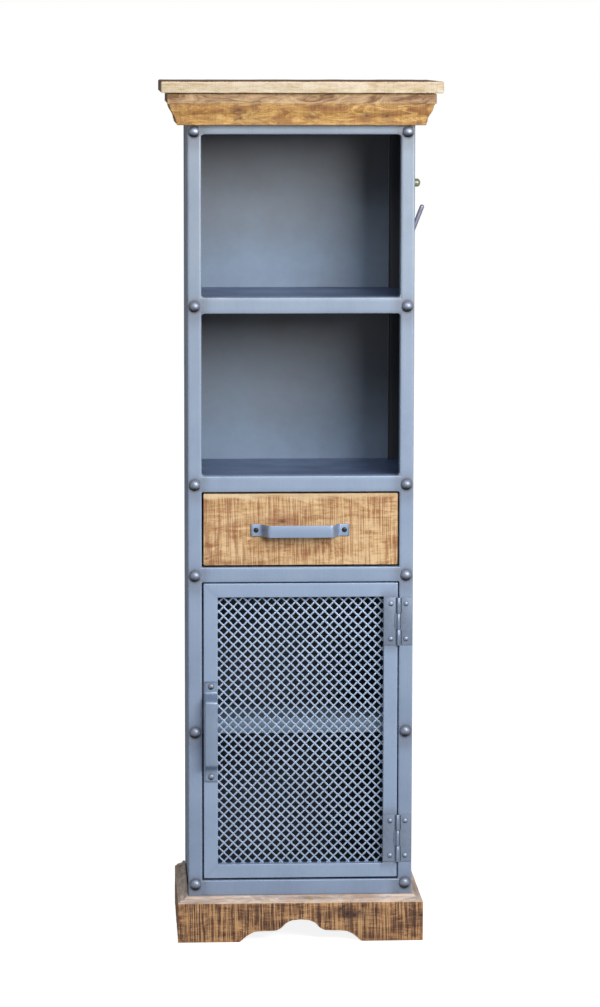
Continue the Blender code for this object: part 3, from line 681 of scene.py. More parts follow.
class CabinetSteel(bpy.types.PropertyGroup):
    """Colours and sizes of the steel."""

    pale: colour_property("Pale steel", "Light tone of the lacquered steel", (0.322, 0.410, 0.562))
    dark: colour_property("Dark steel", "Dark tone of the lacquered steel", (0.250, 0.328, 0.465))
    door_pale: colour_property("Pale door", "Light tone of the door's frame", (0.350, 0.452, 0.630))
    door_dark: colour_property("Dark door", "Dark tone of the door's frame", (0.288, 0.378, 0.538))
    back_pale: colour_property("Pale back", "Light tone of the back panel", (0.238, 0.318, 0.435))
    back_dark: colour_property("Dark back", "Dark tone of the back panel", (0.188, 0.242, 0.320))
    # These two sheet tones are darker copies of the steel: painted shade inside the bays and the cupboard.
    inside_shade_pale: colour_property("Pale sheet", "Light tone of the shelves", (0.100, 0.155, 0.310))
    inside_shade_dark: colour_property("Dark sheet", "Dark tone of the shelves", (0.068, 0.105, 0.220))
    # The inner wall tone is painted shade on the faces that look into the cabinet.
    inside_wall_shade: colour_property("Inner wall", "Tone of the sides' inner faces", (0.045, 0.050, 0.062))
    # This tone is painted shade under the ceiling of each open bay.
    bay_ceiling_shade: colour_property("Tarnish", "Tone under the ceilings of the bays", (0.150, 0.144, 0.138))
    # This tone is painted shade at the back of the cupboard.
    cupboard_shade: colour_property("Cupboard", "Tone at the back of the cupboard", (0.055, 0.062, 0.082))
    rivet_colour: colour_property("Rivet", "Tone of the hammered heads", (0.260, 0.305, 0.395))
    # The heat tint is also the painted shade round the rivets on the front posts.
    heat_and_shade_colour: colour_property("Heat and shade tint", "Colour left by welding", (0.120, 0.112, 0.130))
    wire_colour: colour_property("Wire", "Light tone of the woven wire", (0.470, 0.600, 0.800))
    wire_shade: colour_property("Wire shade", "Dark tone of the woven wire", (0.340, 0.440, 0.600))
    edge_radius: length_property("Tube corner", "Corner radius of the square tubes", 0.0030)
    weld_radius: length_property("Weld", "Size of the welds in the open bays' corners", 0.0048)


class CabinetWood(bpy.types.PropertyGroup):
    """Colours of the wooden parts."""

    cream: colour_property("Cream", "Palest tone, on the top board's edges", (0.700, 0.600, 0.450))
    straw: colour_property("Straw", "Middle tone of the top board", (0.600, 0.480, 0.310))
    wheat: colour_property("Wheat", "Pale tone of the drawer", (0.690, 0.485, 0.265))
    honey: colour_property("Honey", "Middle tone of the drawer and the crown", (0.490, 0.290, 0.115))
    amber: colour_property("Amber", "Dark tone of the drawer and the crown", (0.270, 0.115, 0.040))
    rust: colour_property("Rust", "Saw marks and stains", (0.150, 0.058, 0.030))
    brown: colour_property("Brown", "Middle tone of the plinth", (0.310, 0.148, 0.062))
    umber: colour_property("Umber", "Dark tone of the plinth", (0.125, 0.050, 0.025))
    soot: colour_property("Soot", "Knots and stains of the plinth", (0.048, 0.020, 0.015))
    lime: colour_property("Lime", "Washed tone of the plinth's moulding", (0.760, 0.660, 0.600))


class CabinetMesh(bpy.types.PropertyGroup):
    """Sizes of the door's woven wire."""

    pitch: length_property("Pitch", "Distance between neighbouring wires", 0.01264)
    width: length_property("Width", "Width of each flattened wire", 0.0030)
    thickness: length_property("Thickness", "Thickness of each flattened wire", 0.0012)
    crimp: length_property("Crimp", "Depth of the under wires' waves", 0.0005)


class CabinetStage(bpy.types.PropertyGroup):
    """Camera and light."""

    lens: number_property("Lens", "Focal length", 133.32, 1.0, unit="CAMERA")
    key: number_property("Key", "Power of the main light", 50.0, unit="POWER")
    fill: number_property("Fill", "Power of the light overhead", 30.0, unit="POWER")
    sky: number_property("Sky", "Strength of the light from all round", 0.26, subtype="FACTOR", max=1.0)
    rows: IntProperty(name="Floor rows", description="Divisions of the floor each way", default=2, min=1)


# ---- Steel frame --------------------------------------------------------------------------------


NEAR_CROWN = (0.92, 0.86, 0.77)
# Near the floor the steel is darkened: painted shade.
NEAR_FLOOR_SHADE = (0.90, 0.91, 0.94)
FOLD = 0.004  # in from the side and the back, where a rear post keeps the frame's colour
# The cupboard's shelf darkens between these depths: a painted shadow.
CUPBOARD_FADE = (0.12, 0.17)  # behind the front, between which the cupboard's shelf darkens
RIVET_SHADE = (0.022, 0.025, 0.036)
SHEET = {"roughness": 0.42, "metallic": 0.3, "rub": 0.05}


def recoloured(material, change):
    """Puts one more step between a material's own colour and its shader: change(graph, place, colour)."""
    graph = Graph(material.node_tree)
    socket = material.node_tree.nodes["Principled BSDF"].inputs["Base Color"]
    graph.feed(socket, change(graph, graph.place(), socket.links[0].from_socket))
    return material


def with_height(graph, place, colour):
    """Multiplies a colour by a tint that changes with Z: greyer near the crown, darker near the floor as
    painted shade.
    """
    height = graph.parts(place)["Z"]
    colour = graph.mix(graph.span(height, 0.80, 1.45), colour, NEAR_CROWN, "MULTIPLY")
    return graph.mix(graph.span(height, 0.75, 0.15), colour, NEAR_FLOOR_SHADE, "MULTIPLY")


@functools.cache
def frame_steel():
    """The steel of the front posts, the rails and their welds."""
    look = bpy.context.scene.cabinet_steel
    return recoloured(steel("frame_steel", look.pale, look.dark), with_height)


def rear_post_steel():
    """The rear posts' steel: as the frame, and dark with painted shade on the faces that look into the
    cabinet, more than FOLD in from its side and its back."""
    look = bpy.context.scene.cabinet_steel

    def change(graph, place, colour):
        apart = graph.parts(place)
        off_side = graph.math("LESS_THAN", graph.math("ABSOLUTE", apart["X"]), SIDE - FOLD)
        off_back = graph.math("LESS_THAN", apart["Y"], REAR - FOLD)
        return graph.over(colour, look.inside_wall_shade, off_side, off_back)

    return recoloured(steel("rear_post_steel", look.pale, look.dark), change)


def cupboard_steel():
    """The cupboard's shelf and floor: a sheet that gets darker towards the back, a painted shadow."""
    look = bpy.context.scene.cabinet_steel
    start, end = (FRONT + depth for depth in CUPBOARD_FADE)

    def change(graph, place, colour):
        return graph.mix(graph.span(graph.parts(place)["Y"], start, end), colour, look.cupboard_shade)

    return recoloured(steel("cupboard_steel", look.back_pale, look.back_dark, **SHEET), change)


def side_steel():
    """The side panels' steel: as the frame outside, and dark with painted shade inside, where X is nearer 0
    than the middle of the sheet is."""
    look = bpy.context.scene.cabinet_steel
    middle_x = middle("side_panel_right")[0]

    def change(graph, place, colour):
        inside = graph.math("LESS_THAN", graph.math("ABSOLUTE", graph.parts(place)["X"]), middle_x)
        return graph.mix(inside, colour, look.inside_wall_shade)

    return recoloured(steel("side_steel", look.pale, look.dark, specks=0.4, **SHEET), change)


def back_steel():
    """The back panel's steel: on its inner face, a brownish painted shade that fades downwards from the
    ceiling of each open bay, and a darker tone of painted shade in the cupboard."""
    look = bpy.context.scene.cabinet_steel
    finish = {**SHEET, "roughness": 0.38, "specks": 0.4}

    def change(graph, place, colour):
        apart = graph.parts(place)
        height = apart["Z"]
        inner = graph.math("LESS_THAN", apart["Y"], middle("back_panel")[1])
        lifted = graph.swayed(height, 0.16, graph.noise(place, 7.0, 3.0))
        for top_rail, floor_rail in OPEN_BAYS:
            floor_height, ceiling = high(floor_rail)[2], high(top_rail)[2]
            fade = graph.span(lifted, floor_height + 0.03, ceiling + 0.01)
            above_floor = graph.math("GREATER_THAN", height, floor_height)
            under_ceiling = graph.math("LESS_THAN", height, ceiling)
            mask = graph.times(graph.times(fade, above_floor), under_ceiling)
            colour = graph.over(colour, look.bay_ceiling_shade, mask, inner)
        in_cupboard = graph.math("LESS_THAN", height, low("rail_drawer")[2])
        return graph.over(colour, look.cupboard_shade, in_cupboard, inner)

    return recoloured(steel("back_steel", look.back_pale, look.back_dark, **finish), change)


@functools.cache
def rivet_steel():
    """The steel of the hammered heads, nearly black where painted shade falls on them."""
    tone = np.array(bpy.context.scene.cabinet_steel.rivet_colour)
    pale, dark = 1.25 * tone, 0.85 * tone
    return steel("rivet_steel", pale, dark, 0.42, 0.5, bump=0.0002, specks=0.6, heat_and_shade_tone=RIVET_SHADE)


# The deepest painted shade on a head.
DEEPEST_SHADE = 1.35
# The narrow ring is painted shade at a rivet's foot; the wide one is partly a smudge and partly painted
# shadow under the rivet.
NARROW_RING = (0.003, 0.7)  # size and strength of the dark ring at a rivet's rim
WIDE_RING = (0.017, 0.38)  # and of the faint one round it
WIDE_DROP = 0.008  # of the faint one's middle, under the rivet's
RAIL_CORNER = 0.0026
POST_SLICES = {"front": (9, 560), "back": (3, 120)}  # divisions across each face, and along


def shaded(head, centre_z, radius, seat_y, rim):
    """Painted shade in the value that darkens a head: a ring at its rim, where it stands out by less than
    rim, and the lower part, growing from the head's middle down to its foot."""
    below = (centre_z - head["points"][:, 2]) / radius
    depth = seat_y - head["points"][:, 1]
    foot = np.clip((below + 0.05) / 0.75, 0, 1)
    head["values"]["heat"] = DEEPEST_SHADE * np.clip(np.maximum(1.0 - depth / rim, foot), 0, 1)
    return head


def rivet_heat_and_shade(x, z):
    """Round the rivets: a narrow ring of painted shade at a head's rim, over a wide faint one that sits
    lower, partly a smudge and partly painted shadow; each strength * exp(-(distance / size)^2)."""
    away_x = np.minimum(np.abs(x - (SIDE - TUBE / 2)), np.abs(x + (SIDE - TUBE / 2)))
    rings = []
    for (size, strength), drop in ((NARROW_RING, 0.0), (WIDE_RING, WIDE_DROP)):
        away_z = np.abs(z[..., None] + drop - RIVET_LEVELS).min(axis=-1)
        away = np.maximum(np.hypot(away_x, away_z) - RIVET_RADIUS, 0)
        rings.append(np.exp(-((away / size) ** 2)) * strength)
    return rings[0] + rings[1]


def hollow_bar(ring, inner_ring, stations):
    """A tube: its outer ring carried along the stations and its inner ring carried back, so that the
    walls and both open ends are one closed surface. Rows hold (ring x, ring y, station)."""
    outer = grid(ring[:, 0], ring[:, 1], stations[:, None])
    inner = grid(inner_ring[:, 0], inner_ring[:, 1], stations[[-1, 0], None])
    return np.concatenate([outer, inner])


def ring_wear(ring, half_x, half_y, radius):
    """1 on a rounded rectangle's corners, 0 on its flat sides."""
    near = (np.abs(ring[:, 0]) > half_x - radius) & (np.abs(ring[:, 1]) > half_y - radius)
    return near.astype(float)


def bar_rings(half_x, half_y, radius, side_steps):
    """The outer and the inner ring of a tube's section, a wall apart."""
    ring = rounded_ring(half_x, half_y, radius, 4, side_steps)
    bore = (half_x - TUBE_WALL, half_y - TUBE_WALL, max(radius - TUBE_WALL, 0.0006))
    return ring, rounded_ring(*bore, 4, side_steps)


def add_bar(name, points, wear, heat, material):
    """A tube of the frame, in place of its node."""
    part = surface(points, wrap_rows=True, wrap_columns=True, wear=wear, heat=heat)
    piece(f"steel_{name}", part, material, "cabinet", "frame_steel", (name,))


def add_post(name, depth, material):
    """A post stands on the floor's level and goes up into the crown."""
    radius = bpy.context.scene.cabinet_steel.edge_radius
    side_steps, slices = POST_SLICES[depth]
    ring, inner = bar_rings(TUBE / 2, TUBE / 2, radius, side_steps)
    points = hollow_bar(ring, inner, np.linspace(0, POST_TOP, slices))
    points[..., :2] += middle(name)[:2]
    wear = ring_wear(ring, TUBE / 2, TUBE / 2, radius)
    # The front posts' dark tint holds the painted shade round the rivets.
    heat = rivet_heat_and_shade(points[..., 0], points[..., 2]) if depth == "front" else 0.0
    add_bar(name, points, wear, heat, material)


def add_rail(name, material):
    """A rail runs 3 mm into each post's rounded edge, as a weld that was ground flush leaves it."""
    bottom, top = low(name)[2], high(name)[2]
    half_z = (top - bottom) / 2
    ring, inner = bar_rings(TUBE / 2, half_z, RAIL_CORNER, 4)
    end = INNER + bpy.context.scene.cabinet_steel.edge_radius - 0.0002
    points = hollow_bar(ring, inner, np.linspace(-end, end, 48))[..., [2, 0, 1]]
    points += (0, FRONT + TUBE / 2, (bottom + top) / 2)
    wear = ring_wear(ring, TUBE / 2, half_z, RAIL_CORNER)
    heat = np.exp(-(((INNER - np.abs(points[..., 0])) / 0.012) ** 2)) * 0.5
    add_bar(name, points, wear, heat, material)


class CABINET_OT_frame(bpy.types.Operator):
    """Square-tube posts and rails, welded and ground flush"""

    bl_idname = "cabinet.frame"
    bl_label = "Posts and rails"

    def execute(self, context):
        material = frame_steel()
        for depth, finish in (("front", material), ("back", rear_post_steel())):
            for side in ("left", "right"):
                add_post(f"post_{depth}_{side}", depth, finish)
        for name in RAILS:
            add_rail(name, material)
        return {"FINISHED"}


def weld(corner_x, corner_z, side_x, side_z, radius, sink=0.0012):
    """A weld in the corner between a post and a rail: the corner filled up to a hollow quarter circle
    of the weld's radius, drawn from just behind the rail's front to its back."""
    angle = np.linspace(0, math.pi / 2, 7)
    arc = np.column_stack([radius - radius * np.sin(angle), radius - radius * np.cos(angle)])
    foot = np.array([(-sink, radius), (-sink, -sink), (radius, -sink)])
    outline = np.concatenate([arc[::-1], foot[::-1]])
    flat = outline * (side_x, side_z) + (corner_x, corner_z)
    rows = []
    for depth, size in ((0.0, 0.75), (0.0008, 1.0), (TUBE - 0.002, 1.0)):
        scaled_flat = (flat - (corner_x, corner_z)) * size + (corner_x, corner_z)
        rows.append(grid(scaled_flat[:, 0], FRONT + 0.0006 + depth, scaled_flat[:, 1]))
    points = np.stack(rows)
    points += 0.00035 * value_noise(points, 0.003, 5)[..., None] * np.array([1, 0, 1])
    return surface(points, wrap_columns=True, caps=True, heat=0.55, wear=0.3)


class CABINET_OT_welds(bpy.types.Operator):
    """Welds in the inner corners of the bays"""

    bl_idname = "cabinet.welds"
    bl_label = "Welds"

    def execute(self, context):
        radius = context.scene.cabinet_steel.weld_radius
        small = 0.0018
        openings = [(top, bottom, radius) for top, bottom in OPEN_BAYS]
        openings += [("rail_deck", "rail_drawer", small), ("rail_drawer", "rail_bottom", small)]
        parts = []
        for top, bottom, size in openings:
            for side in (-1, 1):
                parts.append(weld(side * INNER, low(top)[2], -side, -1, size))
                parts.append(weld(side * INNER, high(bottom)[2], -side, 1, size))
        piece("frame_welds", gathered(parts), frame_steel(), "cabinet", "frame_steel", sharp=60.0)
        return {"FINISHED"}


OUT_FRONT = (math.pi / 2, 0, 0)  # turns +Z to the front
OUT_RIGHT = (0, math.pi / 2, 0)  # and to the right


class CABINET_OT_rivets(bpy.types.Operator):
    """Hammered rivet heads down the front posts"""

    bl_idname = "cabinet.rivets"
    bl_label = "Rivets"

    def execute(self, context):
        for side, first_seed in (("left", 20), ("right", 40)):
            for number in range(1, 7):
                node = f"rivet_{side}_{number}"
                centre = middle(node)
                part = head_of(RIVET_RADIUS, FRONT - low(node)[1], 0.002, 30, 0.022, number + first_seed)
                part = moved(part, OUT_FRONT, (centre[0], FRONT + 0.0001, centre[2]))
                # Painted shade on the head's rim and lower half.
                part = shaded(part, centre[2], RIVET_RADIUS, FRONT, 0.0016)
                piece(f"head_{node}", part, rivet_steel(), "cabinet", "rivet_steel", (node,), sharp=70.0)
        return {"FINISHED"}


def dress(names, material):
    """Gives CAD nodes whose shape is right their finish."""
    for name in names:
        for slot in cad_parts[name].material_slots:
            slot.material = material


class CABINET_OT_panels(bpy.types.Operator):
    """Finish of the sheets, panels, runners and catch, whose shapes stay as they are"""

    bl_idname = "cabinet.panels"
    bl_label = "Sheets and panels"

    def execute(self, context):
        look = context.scene.cabinet_steel
        # The sheet's tones are darker copies of the steel: painted shade inside the bays.
        sheet = steel("sheet_steel", look.inside_shade_pale, look.inside_shade_dark, specks=0.4, **SHEET)
        zinc_parts = ("drawer_runner_left", "drawer_runner_right")
        dress(("ceiling_sheet", "upper_shelf", "display_floor", "drawer_bay_floor", "drawer_tray"), sheet)
        dress(("cupboard_shelf", "cupboard_floor"), cupboard_steel())
        dress(("side_panel_left", "side_panel_right"), side_steel())
        dress(("back_panel",), back_steel())
        dress(zinc_parts, plain("runner_zinc", (0.30, 0.31, 0.33), 0.4, 0.8))
        dress(("door_catch",), plain("catch_plastic", (0.018, 0.018, 0.020)))
        return {"FINISHED"}


# ---- Wooden parts -------------------------------------------------------------------------------


def plank(low_corner, high_corner, radius, spacing, ripple, seed, side_steps):
    """A plank along X: a rounded rectangle in the YZ plane carried along it, its ends drawn in along a
    quarter circle, and every point pushed along its ring's normal by ripple times smooth noise.
    Returns the grid of points, the ring, and how far each slice is drawn in."""
    low_corner, high_corner = np.array(low_corner), np.array(high_corner)
    half = (high_corner - low_corner) / 2
    inset, rise = quarter_curve(radius, 5)
    inner = np.arange(-half[0] + radius, half[0] - radius, spacing)[1:]
    x = np.concatenate([-half[0] + radius - rise[::-1], inner, half[0] - radius + rise])
    insets = np.concatenate([inset[::-1], np.zeros(len(inner)), inset])
    ring = rounded_ring(half[1], half[2], radius, 4, side_steps)
    core = np.clip(ring, -half[1:] + radius, half[1:] - radius)
    normal = (ring - core) / radius
    section = ring[None] - normal[None] * insets[:, None, None]
    points = grid(x[:, None], section[..., 0], section[..., 1]) + (high_corner + low_corner) / 2
    push = ripple * (value_noise(points, 0.035, seed) + 0.4 * value_noise(points, 0.009, seed + 1) - 1.4)
    points[..., 1:] += normal[None] * push[..., None]
    return points, ring, insets


class CABINET_OT_top(bpy.types.Operator):
    """Top board with rubbed edges, darker above and on its sawn ends"""

    bl_idname = "cabinet.top"
    bl_label = "Top board"

    def execute(self, context):
        look = context.scene.cabinet_wood
        points, ring, insets = plank(low("top_board"), high("top_board"), 0.0030, 0.006, 0.00040, 3, 22)
        half_y, half_z = ring.max(axis=0)
        wear = 0.8 * ring_wear(ring, half_y, half_z, 0.0032)
        end = insets[:, None] > 0.0022
        above = ring[:, 1] > half_z - 0.0008
        part = surface(points, wrap_columns=True, caps=True, wear=wear, end=end, band=above)
        tones = (scaled(look.cream, 0.88), scaled(look.straw, 0.88), (0.42, 0.29, 0.15), (0.25, 0.14, 0.065))
        finish = {"swirl": 0.03, "streaks": 0.5, "lift": 0.05, "saw": 0.10, "stain": 0.3, "knots": ()}
        dark_top = (tuple(look.brown), tuple(look.umber))
        material = wood("top_wood", tones, **finish, band=dark_top, end=tuple(look.umber))
        piece("wood_top_board", part, material, "cabinet", "top_wood", ("top_board",))
        return {"FINISHED"}


def crown_outline():
    """Reach out of the frame and height: a fillet, a cyma t - 0.75 sin(2 pi t) / (2 pi), a step and a
    flat band under the board."""
    bottom, top = low("crown_front")[2], high("crown_front")[2]
    t = np.linspace(0, 1, 13)
    reach = 0.0205 + 0.0110 * (t - 0.75 * np.sin(math.tau * t) / math.tau)
    cyma = np.column_stack([reach, bottom + 0.0068 + 0.0294 * t])
    foot = [(0.0003, bottom), (0.0178, bottom), (0.0190, bottom + 0.0015), (0.0195, bottom + 0.0050)]
    band = [(0.0328, bottom + 0.0366), (0.0328, bottom + 0.0388), (0.0360, bottom + 0.0392)]
    band += [(0.0360, top - 0.0015), (0.0345, top), (0.0003, top)]
    return np.concatenate([foot, cyma, band])


def plinth_outline():
    """Reach out of the frame and height: a flat face, then two small steps leaning back."""
    top = high("plinth_front")[2]
    reach = FRONT - low("plinth_front")[1]
    points = [(0.0003, 0), (reach, 0), (reach, top - 0.0113), (reach - 0.0014, top - 0.0093)]
    points += [(0.0168, top - 0.0089), (0.0165, top - 0.0071), (0.0125, top - 0.0052)]
    points += [(0.0085, top - 0.0044), (0.0062, top - 0.0025), (0.0048, top), (0.0003, top)]
    return np.array(points)


def corner_value(outline):
    """How sharply a closed outline turns at each point, from 0 on a straight stretch to 1."""
    ahead = np.roll(outline, -1, axis=0) - outline
    behind = outline - np.roll(outline, 1, axis=0)
    turn = np.arctan2(ahead[:, 1], ahead[:, 0]) - np.arctan2(behind[:, 1], behind[:, 0])
    turn = np.abs((turn + math.pi) % math.tau - math.pi)
    return np.clip(turn / 0.35, 0, 1)


def moulding_runs(outline, spacing, ripple, seed):
    """The front run and the two side runs of a moulding. In the front run x = u (side + reach), so its
    ends are mitred, and in a side run y goes from (front - reach) to the back. Smooth noise pushes the
    reach and the height about."""
    reach, height = outline[:, 0], outline[:, 1]
    u = np.linspace(-1, 1, math.ceil(2 * SIDE / spacing))[:, None]
    share = np.linspace(0, 1, math.ceil((WOOD_REAR - FRONT) / spacing))[:, None]
    runs = {"front": grid(u * (SIDE + reach - SEAM), FRONT - reach, height)}
    for side, name in ((-1, "left"), (1, "right")):
        y = (FRONT - reach + SEAM) * (1 - share) + WOOD_REAR * share
        runs[name] = grid(side * (SIDE + reach), y, height)
    for name, points in runs.items():
        noise = value_noise(points, 0.028, seed) + 0.5 * value_noise(points, 0.008, seed + 1) - 1.5
        axis, sign = {"front": (1, -1), "left": (0, -1), "right": (0, 1)}[name]
        points[..., axis] += sign * ripple * noise * (reach > 0.002)
    return runs


def add_moulding(which, runs, materials, wear, band):
    """The three pieces of the crown or of the plinth. The front one's wood runs along X, and that of
    the two at the sides along Y."""
    for name, points in runs.items():
        part = surface(points, wrap_columns=True, caps=True, wear=wear, band=band)
        material = materials["X" if name == "front" else "Y"]
        piece(f"wood_{which}_{name}", part, material, "cabinet", f"{which}_wood", (f"{which}_{name}",))


def knots_at(y, places):
    """Knots as (centre, size) in one upright plane, from their (x, z, size)."""
    return [((x, y, z), size) for x, z, size in places]


CROWN_SWIRLS = ((-0.1150, 1.5480, 0.0040), (0.1180, 1.5370, 0.0030), (0.1550, 1.5360, 0.0035))


class CABINET_OT_crown(bpy.types.Operator):
    """Crown moulding round the front and the sides, mitred at its corners"""

    bl_idname = "cabinet.crown"
    bl_label = "Crown"

    def execute(self, context):
        look = context.scene.cabinet_wood
        outline = divided(softened(crown_outline(), 0.0007), 0.004)
        bottom = outline[:, 1].min()
        wear = corner_value(outline) * 0.7
        band = ((outline[:, 1] > bottom + 0.0380) & (outline[:, 0] > 0.030)).astype(float)
        tones = ((0.700, 0.455, 0.170), (0.460, 0.240, 0.060), look.amber, look.rust)
        rose = ((0.50, 0.335, 0.185), (0.17, 0.080, 0.032))
        finish = {"swirl": 0.24, "streaks": 0.4, "lift": -0.02, "saw": 0.14, "stain": 1.0, "band": rose}
        finish |= {"knots": knots_at(FRONT - 0.026, CROWN_SWIRLS), "end": tuple(look.umber)}
        names = (("X", "crown_wood"), ("Y", "crown_side_wood"))
        materials = {along: wood(name, tones, **finish, along=along) for along, name in names}
        add_moulding("crown", moulding_runs(outline, 0.006, 0.0003, 11), materials, wear, band)
        return {"FINISHED"}


def cut_out_height(x):
    """Height of the gap under the plinth's front at x: feet, two shoulders and a raised middle, its
    corners rounded by averaging over 5 mm."""
    places = np.array([0, 0.0170, 0.0280, 0.0350, 0.0450, 0.0600, 0.0740, 0.0870, 0.0990, 0.1080, 0.1135])
    heights = np.array([0.0423, 0.0406, 0.0350, 0.0268, 0.0214, 0.0206, 0.0205, 0.0192, 0.0130, 0.0055, 0])
    spread = np.linspace(-0.0025, 0.0025, 9)
    away = np.abs(x[..., None] + spread)
    return np.interp(away, places, heights, right=0.0).mean(axis=-1)


PLINTH_KNOTS = ((0.0879, 0.0517, 0.0052), (0.1014, 0.0497, 0.0040), (0.0751, 0.0614, 0.0028))
PLINTH_KNOTS += ((0.2253, 0.0483, 0.0040), (0.1100, 0.0560, 0.0022))


class CABINET_OT_plinth(bpy.types.Operator):
    """Plinth with a scalloped gap under its front, and its washed moulding"""

    bl_idname = "cabinet.plinth"
    bl_label = "Plinth"

    def execute(self, context):
        look = context.scene.cabinet_wood
        outline = divided(softened(plinth_outline(), 0.0006), 0.006)
        wear = corner_value(outline) * 0.75
        face_top = high("plinth_front")[2] - 0.0118
        band = (outline[:, 1] > face_top).astype(float)
        knots = knots_at(low("plinth_front")[1], PLINTH_KNOTS)
        tones = ((0.590, 0.340, 0.155), look.brown, look.umber, look.soot)
        finish = {"swirl": 0.06, "stain": 0.9, "end": tuple(look.umber)}
        finish["band"] = (tuple(look.lime), (0.40, 0.31, 0.27))
        front = {"streaks": 0.6, "lift": -0.035, "saw": 1.0, "knots": knots}
        sides = {"streaks": 0.4, "lift": -0.01, "saw": 0.8, "knots": (), "along": "Y"}
        materials = {
            "X": wood("plinth_wood", tones, **finish, **front),
            "Y": wood("plinth_side_wood", tones, **finish, **sides),
        }
        runs = moulding_runs(outline, 0.0024, 0.0003, 17)
        x, z = runs["front"][..., 0], runs["front"][..., 2]
        z += cut_out_height(x) * np.clip(1 - z / face_top, 0, 1)
        add_moulding("plinth", runs, materials, wear, band)
        points = plank(low("plinth_back"), high("plinth_back"), 0.0012, 0.01, 0.0002, 23, 4)[0]
        part = surface(points, wrap_columns=True, caps=True)
        piece("wood_plinth_back", part, materials["X"], "cabinet", "plinth_wood", ("plinth_back",))
        return {"FINISHED"}


DRAWER_KNOTS = ((-0.0350, 0.7910, 0.0072),)
DRAWER_KNOTS += ((-0.1745, 0.8285, 0.0012), (-0.1740, 0.7215, 0.0012), (-0.1735, 0.7500, 0.0012))


class CABINET_OT_drawer(bpy.types.Operator):
    """Drawer front of rough-sawn wood, with a pale strip along its top edge"""

    bl_idname = "cabinet.drawer"
    bl_label = "Drawer front"

    def execute(self, context):
        look = context.scene.cabinet_wood
        corner, far = low("drawer_front"), high("drawer_front")
        points, ring, insets = plank(corner, far, 0.0016, 0.0025, 0.00022, 31, 44)
        saw = value_noise(points * (1, 0.1, 0.12), 0.0035, 37)
        on_front = (ring[:, 0] < ring[:, 0].min() + 0.0004)[None] * (insets < 0.001)[:, None]
        points[..., 1] += 0.00016 * (saw + 1) * on_front
        wear = 0.5 * np.maximum(corner_value(ring), (insets > 0.0002)[:, None])
        ragged = 0.0035 * value_noise(points * (1, 0, 0), 0.021, 41)
        strip = np.clip((points[..., 2] - far[2] + 0.0105 + ragged) / 0.004, 0, 1) * 0.8
        tones = (look.wheat, look.honey, look.amber, (0.270, 0.098, 0.042))
        finish = {"swirl": 0.06, "streaks": 0.5, "lift": 0.030, "saw": 0.8, "stain": 0.32}
        pale = ((0.68, 0.52, 0.32), (0.52, 0.35, 0.18))
        material = wood("drawer_wood", tones, **finish, knots=knots_at(FRONT, DRAWER_KNOTS), band=pale)
        part = surface(points, wrap_columns=True, caps=True, wear=wear, band=strip)
        piece("wood_drawer_front", part, material, "drawer", "drawer_wood", ("drawer_front",))
        return {"FINISHED"}


# ---- Handles ------------------------------------------------------------------------------------

STRAP_SHEET = 0.0025
STRAP_STAND = 0.0285
STRAP_GRIP = 0.1205
STRAP_LEG = 0.0122
LIE_ACROSS = (math.pi / 2, 0, 0)  # turns a strap's path from the XZ plane to face forwards
STAND_UP = (math.pi / 2, -math.pi / 2, 0)  # and then upright
HANDLE_SHADE = (0.090, 0.110, 0.165)
# Painted light: the drawer's handle is a lighter copy of the steel and the door's a darker one, for how each
# faces the light.
HANDLE_LIGHT_SHARE = {"drawer": 0.96, "door": 0.82}  # each handle's colour, as a share of the door's
DOOR_RIVET_RADIUS = 0.0058


def handle_strap(length, width):
    """A flat strap along X, standing off along Z: a flange, a slanted leg and the grip, each way."""
    centre = STRAP_SHEET / 2
    foot = STRAP_GRIP / 2 + STRAP_LEG - 0.0008
    half = [(length / 2, centre), (foot, centre), (STRAP_GRIP / 2 - 0.0006, STRAP_STAND - centre)]
    corners = [(-x, z) for x, z in half] + half[::-1]
    part = strap(way(corners, 0.0042, 0.004, 7), width, STRAP_SHEET, 0.0007)
    x = np.abs(part["points"][:, 0])
    on_leg = (x > STRAP_GRIP / 2 - 0.001) & (x < foot)
    at_end = np.abs(x - length / 2) < 0.0009
    # The legs are darkened 0.40 as painted shade where they turn away from the light; the very ends are
    # darker, 0.8.
    part["values"]["heat"] = 0.40 * on_leg + 0.8 * at_end
    at_bend = np.minimum(np.abs(x - foot), np.abs(x - STRAP_GRIP / 2))
    part["values"]["wear"] = np.exp(-((at_bend / 0.0012) ** 2))
    return part


